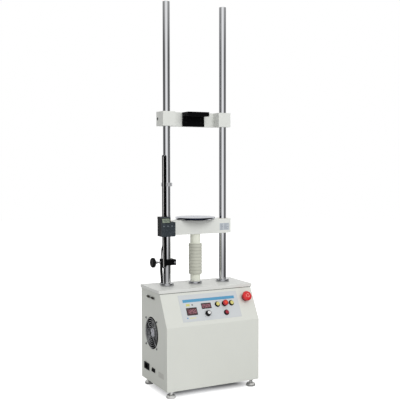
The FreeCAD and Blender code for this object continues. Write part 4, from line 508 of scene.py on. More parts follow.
def speckle(name):
    """Small light flecks: cells whose random number is low, near their middle."""
    group, given, results = start_group(name, [("Scale", "Float", 900.0), ("Share", "Float", 0.2)],
                                        [("Mask", "Float", None)])
    cells = add_node(group, "TexVoronoi", {"Vector": add_node(group, "TexCoord").outputs["Object"],
                                           "Scale": given["Scale"]})
    near = reckon(group, "LESS_THAN", cells.outputs["Distance"], 0.38)
    random = add_node(group, "SeparateColor", {"Color": cells.outputs["Color"]}).outputs[0]
    group.links.new(reckon(group, "MULTIPLY", near, reckon(group, "LESS_THAN", random, given["Share"])),
                    results["Mask"])
    return group


def printed_patch(name):
    """One where a point of the print lies in a rectangle, else nought."""
    group, given, results = start_group(name, [
        ("Place", "Vector", None), ("Middle", "Vector", (0, 0, 0)), ("Half size", "Vector", (1, 1, 1))],
        [("Mask", "Float", None)])
    away = vectors(group, "ABSOLUTE", vectors(group, "SUBTRACT", given["Place"], given["Middle"])[0])[0]
    room = vectors(group, "SUBTRACT", given["Half size"], away)[0]
    room = add_node(group, "SeparateXYZ", {0: room}).outputs
    inside = reckon(group, "MULTIPLY", *(reckon(group, "GREATER_THAN", room[axis], 0.0) for axis in range(2)))
    group.links.new(inside, results["Mask"])
    return group


EFFECTS = {"Grain": grain, "Uneven": uneven, "Speckle": speckle, "Printed patch": printed_patch}


def use_group(tree, name, **inputs):
    """The node group of that name, made the first time that it is asked for, placed with its values."""
    node = tree.nodes.new("ShaderNodeGroup")
    node.node_tree = bpy.data.node_groups.get(name) or EFFECTS[name](name)
    for key, given in inputs.items():
        key = key.replace("_", " ")
        if isinstance(given, bpy.types.NodeSocket):
            tree.links.new(given, node.inputs[key])
        else:
            node.inputs[key].default_value = given
    return node.outputs


def start_material(name, **sockets):
    """A material with one Principled shader whose plain sockets are set."""
    material = bpy.data.materials.new(name)
    material.use_nodes = True
    tree = material.node_tree
    tree.nodes.clear()
    sockets = {key.replace("_", " "): given for key, given in sockets.items()}
    shader = add_node(tree, "BsdfPrincipled", sockets)
    add_node(tree, "OutputMaterial", {"Surface": shader.outputs[0]})
    return material, tree, shader


def drifting(tree, shader, colour, **values):
    """Colour and roughness that drift over the piece, on the shader. Returns the colour."""
    colour = colour if isinstance(colour, bpy.types.NodeSocket) else (*colour, 1)
    drift = use_group(tree, "Uneven", Color=colour, **values)
    tree.links.new(drift["Color"], shader.inputs["Base Color"])
    tree.links.new(drift["Roughness"], shader.inputs["Roughness"])
    return drift["Color"]


def relief(tree, shader, height, distance):
    """Relief of a height map, its depth in millimetres, on the shader."""
    bump = add_node(tree, "Bump", {"Height": height, "Distance": distance * MM, "Strength": 1.0})
    tree.links.new(bump.outputs[0], shader.inputs["Normal"])


# Colour, metal, roughness, tone drift, roughness drift, grain scale per metre, grain depth in mm, stretch,
# and where it isn't the usual 0.5 the gloss level
FINISHES = {
    "front_paint": ("front", 0, 0.42, 0.012, 0.06, 700, 0.016, (1, 1, 1)),
    "side_paint": ("front", 0, 0.44, 0.012, 0.06, 700, 0.016, (1, 1, 1)),
    "plate_paint": ("plate", 0, 0.38, 0.012, 0.06, 700, 0.014, (1, 1, 1)),
    "crosshead_paint": ("crosshead", 0, 0.4, 0.012, 0.06, 700, 0.014, (1, 1, 1)),
    "upper_paint": ("upper", 0, 0.4, 0.012, 0.06, 700, 0.014, (1, 1, 1)),
    "frame_steel": ((146, 148, 150), 0.9, 0.42, 0.05, 0.1, 1500, 0.01, (1, 1, 0.1)),
    "screw_steel": ((188, 190, 192), 1, 0.28, 0.04, 0.08, 2500, 0.006, (1, 1, 1)),
    "bushing_brass": ((196, 164, 96), 1, 0.3, 0.04, 0.08, 3000, 0.004, (0.1, 0.1, 1)),
    "screw_ground": ((170, 172, 174), 1, 0.3, 0.06, 0.1, 2500, 0.004, (0.2, 0.2, 1)),
    "black_metal": ("black", 0, 0.5, 0.08, 0.06, 900, 0.006, (1, 1, 1), 0.05),
    "black_screw": ("black", 0.4, 0.3, 0.08, 0.06, 900, 0.01, (1, 1, 1), 0.3),
    "ring_metal": ((222, 223, 225), 0.6, 0.22, 0.03, 0.06, 2500, 0.003, (0.1, 0.1, 1)),
    "knob_plastic": ("black", 0, 0.42, 0.08, 0.08, 1200, 0.01, (1, 1, 1), 0.2),
    "lead_jacket": ((12, 12, 13), 0, 0.5, 0.1, 0.08, 1500, 0.01, (1, 1, 1), 0.15),
    "sleeve_black": ((12, 12, 13), 0, 0.42, 0.1, 0.08, 1500, 0.01, (1, 1, 1), 0.2),
    "drive_cast": ((96, 98, 100), 0.8, 0.5, 0.08, 0.1, 500, 0.08, (1, 1, 1)),
    "bearing_steel": ((190, 192, 195), 1, 0.2, 0.03, 0.06, 3000, 0.002, (0.1, 0.1, 1)),
    "nut_bronze": ((176, 132, 74), 1, 0.34, 0.05, 0.08, 2500, 0.006, (0.1, 0.1, 1)),
    "pulley_aluminium": ((188, 190, 192), 1, 0.32, 0.04, 0.08, 2500, 0.006, (0.1, 0.1, 1)),
    "belt_rubber": ((22, 22, 23), 0, 0.62, 0.1, 0.08, 1500, 0.04, (1, 1, 1)),
    "motor_paint": ((40, 42, 45), 0, 0.45, 0.08, 0.08, 900, 0.03, (1, 1, 1)),
    "supply_case": ((176, 178, 180), 1, 0.4, 0.05, 0.1, 1800, 0.008, (1, 0.1, 1)),
    "board_green": ((22, 92, 48), 0, 0.4, 0.1, 0.08, 1500, 0.02, (1, 1, 1)),
    "fan_plastic": ((8, 8, 9), 0, 0.6, 0.08, 0.08, 1200, 0.01, (1, 1, 1), 0.03),
    "guard_wire": ((218, 220, 222), 1, 0.24, 0.03, 0.06, 2500, 0.002, (1, 1, 1)),
    "inlet_plastic": ((12, 12, 13), 0, 0.45, 0.08, 0.08, 1200, 0.01, (1, 1, 1), 0.15),
    "rocker_plastic": ((14, 14, 15), 0, 0.24, 0.05, 0.05, 900, 0.008, (1, 1, 1), 0.4),
    "socket_metal": ((186, 187, 188), 1, 0.22, 0.04, 0.06, 2500, 0.003, (1, 0.1, 0.1)),
    "dark_steel": ((70, 72, 74), 0.8, 0.4, 0.04, 0.06, 2500, 0.003, (1, 1, 1)),
    "pale_steel": ((184, 185, 180), 0.2, 0.4, 0.03, 0.06, 2500, 0.003, (1, 1, 1)),
    "key_plastic": ((116, 124, 130), 0, 0.45, 0.04, 0.06, 1200, 0.02, (1, 1, 1)),
    "yellow_plastic": ("yellow", 0, 0.26, 0.03, 0.05, 600, 0.01, (1, 1, 1)),
    "red_plastic": ("red", 0, 0.26, 0.04, 0.05, 600, 0.01, (1, 1, 1)),
    "deep_red": ((176, 26, 48), 0, 0.28, 0.04, 0.05, 600, 0.01, (1, 1, 1)),
    "orange_lens": ((226, 66, 34), 0, 0.24, 0.03, 0.05, 600, 0.01, (1, 1, 1)),
    "dark_red_plastic": ("dark_red", 0, 0.28, 0.04, 0.05, 600, 0.01, (1, 1, 1)),
    "bezel_plastic": ((12, 12, 13), 0, 0.34, 0.06, 0.06, 900, 0.01, (1, 1, 1), 0.2),
    "foot_metal": ((212, 212, 209), 0.65, 0.3, 0.03, 0.08, 2500, 0.006, (0.1, 0.1, 1)),
    "scale_rail": ((196, 194, 192), 0.15, 0.4, 0.04, 0.06, 2500, 0.006, (1, 1, 0.05)),
    "scale_lip": ((8, 8, 9), 0, 0.6, 0.08, 0.06, 1500, 0.01, (1, 1, 1), 0.04),
    "silver_cap": ((232, 233, 233), 0.2, 0.3, 0.02, 0.05, 3000, 0.003, (1, 1, 1)),
    "white_mark": ((224, 226, 226), 0, 0.5, 0.02, 0.04, 900, 0.01, (1, 1, 1)),
    "dim_mark": ((128, 138, 152), 0, 0.5, 0.02, 0.04, 900, 0.01, (1, 1, 1)),
    "grey_plate": ((190, 197, 204), 0, 0.34, 0.03, 0.06, 900, 0.006, (1, 1, 1)),
    "pale_plate": ((200, 200, 194), 0, 0.4, 0.03, 0.06, 900, 0.006, (1, 1, 1)),
    "hub_plate": ((222, 222, 232), 0, 0.4, 0.04, 0.06, 900, 0.004, (1, 1, 1)),
    # Pale red arrows: marks on the stop, and also a painted highlight of its crown
    "arrow_print_and_highlight": ((240, 150, 142), 0, 0.4, 0.02, 0.04, 900, 0.004, (1, 1, 1)),
    "dark_gap": ((10, 10, 11), 0, 0.6, 0.05, 0.05, 900, 0.01, (1, 1, 1), 0.2),
    "pin_brass": ((196, 176, 120), 1, 0.26, 0.03, 0.05, 2500, 0.003, (1, 1, 1)),
    "dial_print": ((52, 62, 74), 0, 0.5, 0.03, 0.05, 900, 0.004, (1, 1, 1)),
    "crystal_figure": ((34, 40, 38), 0, 0.4, 0.03, 0.05, 900, 0.002, (1, 1, 1)),
}


def plain_finish(name):
    """The common finish: drifting colour and roughness over a fine grain."""
    colour, metal, rough, tone, drift, scale, depth, stretch, *gloss = FINISHES[name]
    colour = getattr(bpy.context.scene.stand_colours, colour) if isinstance(colour, str) else srgb(*colour)
    material, tree, shader = start_material(name, Metallic=float(metal),
                                            Specular_IOR_Level=(gloss or [0.5])[0])
    drifting(tree, shader, colour, Tone=tone, Roughness=rough, Spread=drift, Stretch=stretch)
    relief(tree, shader, use_group(tree, "Grain", Scale=float(scale), Stretch=stretch)[0], depth)
    return material


def chrome_finish(name):
    """Hard chrome over ground steel: a mirror with faint lines around the shaft and a few dull smears."""
    material, tree, shader = start_material(name, Metallic=1.0)
    colour = srgb(176, 177, 179) if name == "collar_chrome" else srgb(228, 229, 230)
    drifting(tree, shader, colour, Tone=0.015, Scale=9.0, Roughness=0.075, Spread=0.035)
    relief(tree, shader, use_group(tree, "Grain", Scale=1200.0, Detail=1.0, Stretch=(0.03, 0.03, 1))[0],
           0.0002)
    return material


def platen_finish(name):
    """Plated and turned: fine rings around the middle of the disc, by noise on the distance from it. Below
    the top the metal is a bluish black, a painted reflection of dark surroundings, and the rim takes a
    painted glint where it is seen at a slant."""
    material, tree, shader = start_material(name, Metallic=1.0, Specular_Tint=(0.66, 0.67, 0.7, 1))
    x, y, z = add_node(tree, "SeparateXYZ", {0: add_node(tree, "TexCoord").outputs["Object"]}).outputs
    far = reckon(tree, "SQRT", reckon(tree, "ADD", *(reckon(tree, "POWER", side, 2.0) for side in (
        x, reckon(tree, "SUBTRACT", y, COLUMN_Y * MM)))))
    lines = add_node(tree, "TexNoise", {"W": far, "Scale": 2600.0, "Detail": 2.0},
                     noise_dimensions="1D").outputs[0]
    on_top, off_seat = (reckon(tree, "GREATER_THAN", z, (float(HEAD_HIGH[2]) + rise) * MM)
                        for rise in (9.3, 2))
    # Painted glint: the rim turns bright where it is seen at a slant
    slant = add_node(tree, "LayerWeight", {"Blend": 0.5}).outputs["Facing"]
    rim_glint_mask = reckon(tree, "MULTIPLY", off_seat, ranged(tree, slant, 0.42, 0.58, 0.0, 1.0))
    # Painted reflection: below the top the plating is a dark bluish colour that stands in for dark
    # surroundings
    plating_with_painted_reflection = mixed(tree, on_top, mixed(tree, rim_glint_mask, srgb(34, 38, 54), srgb(232, 232, 234)),
                 srgb(204, 206, 212))
    drifting(tree, shader, plating_with_painted_reflection, Tone=0.02, Scale=16.0, Roughness=0.14, Spread=0.06)
    relief(tree, shader, lines, 0.003)
    return material


def bellows_finish(name):
    """Matt coated cloth: paler necks, greyer folds with painted shade in the grooves, and a fine weave."""
    material, tree, shader = start_material(name, Sheen_Weight=0.15, Sheen_Roughness=0.5)
    place = add_node(tree, "UVMap", uv_map="Print").outputs[0]
    wide, groove = add_node(tree, "SeparateXYZ", {0: place}).outputs[:2]
    colours = bpy.context.scene.stand_colours
    cloth = mixed(tree, wide, colours.bellows_neck, colours.bellows_fold)
    # Painted shade: the cloth darkens by how deep a point lies in a groove
    groove_shade = mixed(tree, reckon(tree, "MULTIPLY", groove, 0.35), cloth, srgb(128, 128, 118))
    drifting(tree, shader, groove_shade, Tone=0.03, Scale=22.0, Roughness=0.66, Spread=0.06)
    relief(tree, shader, use_group(tree, "Grain", Scale=2200.0, Detail=2.0)[0], 0.05)
    return material


def case_finish(name):
    """Slate plastic with light flecks, its rear half nearly black."""
    material, tree, shader = start_material(name, Specular_IOR_Level=0.3)
    colour = drifting(tree, shader, bpy.context.scene.stand_colours.case, Tone=0.08, Scale=30.0,
                      Roughness=0.5, Spread=0.06)
    flecks = use_group(tree, "Speckle", Scale=620.0, Share=0.16)[0]
    colour = mixed(tree, reckon(tree, "MULTIPLY", flecks, 0.4), colour, srgb(150, 160, 168))
    depth = add_node(tree, "SeparateXYZ", {0: add_node(tree, "TexCoord").outputs["Object"]}).outputs[1]
    rear = reckon(tree, "GREATER_THAN", depth, (float(span("readout_case")[0][1]) + 11) * MM)
    tree.links.new(mixed(tree, rear, colour, srgb(17, 19, 22)), shader.inputs["Base Color"])
    relief(tree, shader, use_group(tree, "Grain", Scale=1400.0)[0], 0.03)
    return material


def pane_finish(name):
    """A clear pane over a display: grey green crystal, or a dark red filter."""
    coat, coat_roughness, ink, tone, rough, drift = {
        "window_glass": (0.6, 0.05, (126, 138, 120), 0.05, 0.3, 0.04),
        "display_plastic": (0.5, 0.06, (78, 30, 40), 0.08, 0.24, 0.05)}[name]
    material, tree, shader = start_material(name, Coat_Weight=coat, Coat_Roughness=coat_roughness)
    drifting(tree, shader, srgb(*ink), Tone=tone, Scale=60.0, Roughness=rough, Spread=drift)
    return material


def figure_finish(name):
    """Glowing or dark bars of a number display, seen through its filter."""
    lit = name == "lit_figure"
    material, tree, shader = start_material(name, Roughness=0.4, Emission_Strength=0.22 if lit else 0.0)
    ink = srgb(168, 112, 124) if lit else srgb(96, 54, 62)
    colour = use_group(tree, "Uneven", Color=(*ink, 1), Tone=0.06, Scale=300.0)["Color"]
    tree.links.new(colour, shader.inputs["Base Color"])
    if lit:
        tree.links.new(colour, shader.inputs["Emission Color"])
    return material


# Print of the control panel: middle u and v, width and height in mm, and colour
PRINT = [
    (0, 100, 226, 12, (80, 152, 192)), (-93.9, 83.5, 16, 9, (206, 202, 118)),
    (-75.5, 83, 5.5, 5.5, (56, 60, 60)), (-84, 31, 28, 3.2, (222, 216, 150)),
    (-106.1, 31.9, 5, 5, (78, 140, 190)),
]


def overlay_finish(name):
    """Printed film: a pale sheet, a blue band and small patches, under a satin coat."""
    material, tree, shader = start_material(name, Coat_Weight=0.25, Coat_Roughness=0.25)
    place = vectors(tree, "MULTIPLY", add_node(tree, "UVMap", uv_map="Print").outputs[0],
                    (1000, 1000, 1000))[0]
    colour = drifting(tree, shader, bpy.context.scene.stand_colours.film, Tone=0.012, Scale=10.0,
                      Roughness=0.36, Spread=0.05)
    for u, v, width, height, ink in PRINT:
        mask = use_group(tree, "Printed patch", Place=place, Middle=(u, v, 0),
                         Half_size=(width / 2, height / 2, 1))
        colour = mixed(tree, mask[0], colour, srgb(*ink))
    tree.links.new(colour, shader.inputs["Base Color"])
    relief(tree, shader, use_group(tree, "Grain", Scale=1100.0)[0], 0.008)
    return material


SPECIAL = {
    "column_chrome": chrome_finish, "collar_chrome": chrome_finish, "platen_chrome": platen_finish,
    "bellows_cloth": bellows_finish, "case_plastic": case_finish, "window_glass": pane_finish,
    "display_plastic": pane_finish, "lit_figure": figure_finish, "dark_figure": figure_finish,
    "overlay_film": overlay_finish,
}


def finish(name):
    """The material of that name, made the first time that it is asked for."""
    material = bpy.data.materials.get(f"{name}_look")
    if material is None:
        material = SPECIAL.get(name, plain_finish)(name)
        material.name = f"{name}_look"
    return material


# What a user may change
def colour_choice(name, description, *default):
    """A colour that a user may change, its default read off a screen."""
    return bpy.props.FloatVectorProperty(name=name, description=description, default=srgb(*default),
                                         subtype="COLOR", size=3, min=0, max=1)


def length_choice(name, description, default, low, high):
    """A length that a user may change, in metres."""
    return bpy.props.FloatProperty(name=name, description=description, default=default, min=low, max=high,
                                   unit="LENGTH", precision=4)


class StandColours(bpy.types.PropertyGroup):
    """Colours of the painted and moulded pieces."""
    front: colour_choice("Cabinet paint", "Paint of the cabinet's sheets", 220, 222, 215)
    plate: colour_choice("Plate paint", "Paint of the top plate", 224, 225, 221)
    crosshead: colour_choice("Crosshead paint", "Paint of the lower crosshead", 229, 231, 226)
    upper: colour_choice("Upper crosshead paint", "Paint of the upper crosshead", 224, 226, 221)
    bellows_neck: colour_choice("Bellows necks", "Cloth of the bellows' two necks", 236, 238, 224)
    bellows_fold: colour_choice("Bellows folds", "Cloth of the bellows' wide part", 200, 201, 188)
    black: colour_choice("Black", "Black paint, and the knobs' plastic", 9, 9, 10)
    case: colour_choice("Readout case", "Plastic of the position readout", 46, 53, 58)
    film: colour_choice("Panel film", "Ground of the control panel's print", 205, 209, 211)
    yellow: colour_choice("Yellow", "Caps of the up and down buttons", 214, 204, 122)
    red: colour_choice("Red", "Head of the emergency stop", 212, 34, 38)
    dark_red: colour_choice("Dark red", "Cap of the record button, and the stop's collar", 150, 16, 40)


class StandSizes(bpy.types.PropertyGroup):
    """Sizes of the details that the frame leaves open, in metres."""
    sheet_edge: length_choice("Sheet edge", "Rounding of the covers' edges", 0.0005, 0, 0.001)
    block_edge: length_choice("Block edge", "Rounding of the thick pieces' edges", 0.0009, 0, 0.002)
    rib_depth: length_choice("Fold depth", "Depth of the bellows' grooves", 0.0015, 0.0005, 0.003)
    ribs: bpy.props.IntProperty(name="Folds", description="Number of folds of the bellows", default=9, min=4,
                                max=30)
    grips: bpy.props.IntProperty(name="Knob grips", description="Flutes around the clamp knob", default=18,
                                 min=6, max=48)


class StandStudio(bpy.types.PropertyGroup):
    """The camera and the lights."""
    place: bpy.props.FloatVectorProperty(name="Camera place", description="Where the camera stands",
                                         default=(-1.293, -2.582, 0.883), subtype="TRANSLATION", size=3)
    heading: bpy.props.FloatProperty(name="Heading", description="Turn of the view towards +X",
                                     default=math.radians(26.63), subtype="ANGLE")
    pitch: bpy.props.FloatProperty(name="Pitch", description="How far the view looks down",
                                   default=math.radians(2.77), subtype="ANGLE")
    roll: bpy.props.FloatProperty(name="Roll", description="Turn of the view about its middle",
                                  default=math.radians(-0.08), subtype="ANGLE")
    lens: bpy.props.FloatProperty(name="Lens", description="Focal length in millimetres", default=65.4,
                                  min=10)
    room: bpy.props.FloatProperty(name="Room light", description="Even light from all around", default=0.58,
                                  min=0)
    lamp: bpy.props.FloatProperty(name="Main lamp", description="Power of the large soft lamp in watts",
                                  default=62.0, min=0)


class StandPiece:
    """What every operator of the stand shares."""
    bl_options = {"REGISTER", "UNDO"}


class STAND_OT_cabinet(StandPiece, bpy.types.Operator):
    """Sheet covers, base, posts and the thick top plate, with softened edges, a painted shadow line under the
    plate and a rating plate
    """
    bl_idname = "stand.cabinet"
    bl_label = "Cabinet"

    def execute(self, context):
        edge = context.scene.stand_sizes.sheet_edge / MM
        dressed("front_cover", edge, "front_paint", sharp=40)
        for node in ("side_panel_left", "side_panel_right", "rear_panel"):
            dressed(node, edge, "side_paint")
        for node in ("base_plate", "frame_posts"):
            dressed(node, edge, "frame_steel")
        dressed("top_plate", context.scene.stand_sizes.block_edge / MM, "plate_paint")
        under, front, out, inside = float(CABINET_HIGH[2]), FRONT + SLOPE_RUN - 1.3, SIDE + 0.3, SIDE - 0.8
        # Painted shadow: a thin dark strip under the plate's front and sides, where the gap lies in shade
        shadow_line = [block((low, front, under - 1.7), (high, back, under), 0.1) for low, high, back in (
            (-out, out, front + 2.3), (-out, -inside, BACK - 2), (inside, out, BACK - 2))]
        add_piece("plate_shadow_line", joined(*shadow_line), "stand", "plate_paint", material="dark_gap")
        plate = block((-10, -25, 0), (10, 25, 0.35), 0.12, LEFT, (-SIDE, -68.5, 80), corner=1.5)
        add_piece("rating_plate", plate, "stand", "side_paint", material="pale_plate")
        return {"FINISHED"}


class STAND_OT_feet(StandPiece, bpy.types.Operator):
    """Levelling feet: a turned pad with grip grooves, a lock nut and a threaded stem"""
    bl_idname = "stand.feet"
    bl_label = "Feet"

    def execute(self, context):
        profile = softened([(0, 0), (16.5, 0, 1), (18.5, 2, 1), (18.5, 8, 1.5), (15.5, 13, 1.5), (9, 13, 0.4),
                            (8.4, 12.2, 0.4), (6, 12.2, 0.2), (6, 33.6, 0.2), (4.8, 35, 0.3),
                            (0, 35)], 0.4, 4)
        for node in ("foot_front_left", "foot_front_right", "foot_rear_left", "foot_rear_right"):
            middle = sum(span(node)) / 2
            origin = (middle[0], middle[1], 0)
            nut = hex_nut(19, 6, 6.02, UP, origin, foot=22.6)
            add_piece(f"{node}_turned", joined(turned(profile, UP, origin), nut), node, "foot_metal", [node])
        return {"FINISHED"}


class STAND_OT_columns(StandPiece, bpy.types.Operator):
    """Chromed columns with a centre mark on top, their nuts, and the rings on the plate"""
    bl_idname = "stand.columns"
    bl_label = "Columns"

    def execute(self, context):
        low, high = COLUMN_LOW[2], COLUMN_HIGH[2]
        radius = COLUMN_RADIUS
        profile = softened([(0, low), (9, low, 0.2), (10, low + 1.2, 0.2), (10, PLATE_TOP, 0),
                            (radius, PLATE_TOP, 0), (radius, high - 1.4, 0.5), (radius - 1.4, high, 0.4),
                            (3, high, 0.1), (0, high - 2.4)], 0.3, 3)
        for name, x in (("column_left", -COLUMN_X), ("column_right", COLUMN_X)):
            add_piece(f"{name}_shaft", turned(profile, UP, (x, COLUMN_Y, 0), 128), "stand", "column_chrome",
                      [name])
        top = float(CABINET_HIGH[2])
        nuts = [hex_nut(30, 16, 10.05, UP, (x, COLUMN_Y, 0), foot=top - 16) for x in (-COLUMN_X, COLUMN_X)]
        add_piece("column_lock_nuts", joined(*nuts), "stand", "screw_steel", ["column_nuts"])
        rings = []
        for x, bore in ((-COLUMN_X, 15.05), (0, 20.9), (COLUMN_X, 15.05)):
            ring = softened([(bore, 0, 0), (27.5, 0, 0.3), (26.5, 9.6, 0.7), (25.3, 11, 0.5),
                             (bore + 0.8, 11, 0.4), (bore, 10.2, 0.3)], 0.3, 4, closed=True)
            rings.append(turned(ring, UP, (x, COLUMN_Y, PLATE_TOP), 128, closed=True))
        add_piece("plate_rings", joined(*rings), "stand", "collar_chrome", ["plate_collars"])
        return {"FINISHED"}


class STAND_OT_bellows(StandPiece, bpy.types.Operator):
    """Folding cover of the lift screw: two plain necks and a wide part with shallow grooves"""
    bl_idname = "stand.bellows"
    bl_label = "Bellows"

    def execute(self, context):
        """The wide part's radius dips by a bell curve at each groove, and swells by a cosine between them."""
        depth, folds = context.scene.stand_sizes.rib_depth / MM, context.scene.stand_sizes.ribs
        low, high, top = 42.0, 161.0, float(HEAD_LOW[2]) - PLATE_TOP
        neck, lining, widest, swell = 20.6, 19.3, 27, 0.25

        def fold_place(rise):
            """How many folds up a height lies, and how deep in a groove, from nought to one."""
            phase = (rise - low) / (high - low) * folds
            return phase, np.exp(-((phase - np.round(phase)) / 0.1) ** 2)
        height = np.linspace(low + 0.01, high - 0.01, folds * 16 + 1)
        phase, groove = fold_place(height)
        groove = np.where((np.round(phase) > 0) & (np.round(phase) < folds), groove, 0)
        wide = widest - depth * groove - swell - swell * np.cos(2 * math.pi * phase) * (1 - groove)
        profile = np.concatenate([
            softened([(neck, 0), (neck, low - 3.4, 1), (22.2, low - 2.2, 0.6), (26.6, low - 1.6, 0.8),
                      (wide[0], low + 0.01)], 1, 5),
            np.stack([wide, height], 1)[1:-1],
            softened([(wide[-1], high - 0.01), (26.6, high + 1.6, 0.8), (22.2, high + 2.2, 0.6),
                      (neck, high + 3.4, 1), (neck, top)], 1, 5),
            [(lining, top), (lining, high + 2), (24, high - 1.5), (24, low + 1.5), (lining, low - 2),
             (lining, 0)]])
        shape = turned(profile, UP, (0, COLUMN_Y, PLATE_TOP), 128, closed=True)
        cover = add_piece("bellows_cover", shape, None, "bellows_cloth", ["bellows"], sharp=50)

        def print_place(points):
            """First number: 1 on the wide part, 0 on the necks. Second: how deep in a groove."""
            far, rise = np.hypot(points[:, 0], points[:, 1] - COLUMN_Y), points[:, 2] - PLATE_TOP
            inside = (rise > low - 2) & (rise < high + 2)
            return np.stack([np.clip((far - neck) / 4, 0, 1), fold_place(rise)[1] * inside], 1)
        spread(cover, print_place)
        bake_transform(cover)
        return {"FINISHED"}


class STAND_OT_crosshead(StandPiece, bpy.types.Operator):
    """Lower crosshead with its bushings, lift screw and a small plate with a ruled table"""
    bl_idname = "stand.crosshead"
    bl_label = "Lower crosshead"

    def execute(self, context):
        dressed("crosshead", context.scene.stand_sizes.block_edge / MM, "crosshead_paint")
        low, high = float(HEAD_LOW[2]), float(HEAD_HIGH[2])
        bush = softened([(15.05, low, 0), (18.5, low, 0.3), (18.5, high, 0.3), (16.2, high, 0.2),
                         (15.05, high - 1, 0.2)], 0.3, 3, closed=True)
        rings = [turned(bush, UP, (x, COLUMN_Y, 0), 96, closed=True) for x in (-COLUMN_X, COLUMN_X)]
        add_piece("guide_rings", joined(*rings), "crosshead", "bushing_brass", ["guide_bushings"])
        self.lift_screw(low)
        seat = (120, float(HEAD_LOW[1]), 632)
        add_piece("crosshead_plate", block((-22, -14, 0), (22, 14, 0.4), 0.15, FORWARD, seat, corner=1),
                  "crosshead", "crosshead_paint", material="grey_plate")
        rules = [rectangle(41, 0.5, 0.1, 1) + (0, v) for v in (7.4, 2.5, -2.5, -7.4)]
        rules.append(rectangle(0.5, 25, 0.1, 1) + (-5, 0))
        entries = [rectangle(width, 1.7, 0.2, 1) + (u, v) for u, v, width in (
            (-13, 9.8, 11), (-14, 4.9, 9), (-13, 0, 12), (-14, -4.9, 8), (-13, -9.8, 11),
            (7, 9.8, 18), (4, 4.9, 12), (8, 0, 20), (5, -4.9, 14), (7, -9.8, 17))]
        for name, outlines, look in (("plate_rules", rules, "white_mark"),
                                     ("plate_entries", entries, "dim_mark")):
            marks = [prism(outline, [(0, 0.3), (0, 0.44)], FORWARD, seat) for outline in outlines]
            add_piece(name, joined(*marks), "crosshead", "crosshead_paint", material=look, merged=False)
        return {"FINISHED"}

    def lift_screw(self, top):
        """Trapezoid thread: the radius follows the height less the turn's share of the lead, cut flat at root
        and crest."""
        screw_low = float(span("lift_screw")[0][2])
        lead, outer, root = 10.0, 12.5, 10.2
        height = np.arange(screw_low + 3, top - 12, lead / 12)
        head = softened([(root, top - 11.5), (root, top - 10, 0), (19, top - 10, 0.4), (19, top, 0.3),
                         (0, top)], 0.3)
        foot = [(0, screw_low), (root - 1, screw_low), (root, screw_low + 1.5)]
        profile = np.concatenate([foot, np.stack([np.full(len(height), outer), height], 1), head])

        def wave(radius, rise, angle):
            share = (rise / lead - angle / (2 * math.pi)) % 1
            flank = np.clip((np.abs(share - 0.5) - 0.15) / 0.14, 0, 1)
            return np.where(radius == outer, outer - (outer - root) * flank, radius)
        add_piece("lift_thread", turned(profile, UP, (0, COLUMN_Y, 0), 48, wave), "crosshead", "screw_ground",
                  ["lift_screw"], sharp=40)


class STAND_OT_platen(StandPiece, bpy.types.Operator):
    """Round platen with a bevelled underside and a centre mark"""
    bl_idname = "stand.platen"
    bl_label = "Platen"

    def execute(self, context):
        foot = float(HEAD_HIGH[2])
        profile = softened([(0, -14), (9.4, -14, 0.3), (10, -13.2, 0.3), (10, 0, 0), (75.5, 0, 0.5),
                            (80, 4.5, 0.5), (80, 8.9, 0.5), (79.4, 9.5, 0.4), (1.6, 9.5, 0.1),
                            (0, 8.2)], 0.4, 4)
        add_piece("platen_disc", turned(profile, UP, (0, COLUMN_Y, foot), 160), "crosshead", "platen_chrome",
                  ["platen"])
        return {"FINISHED"}


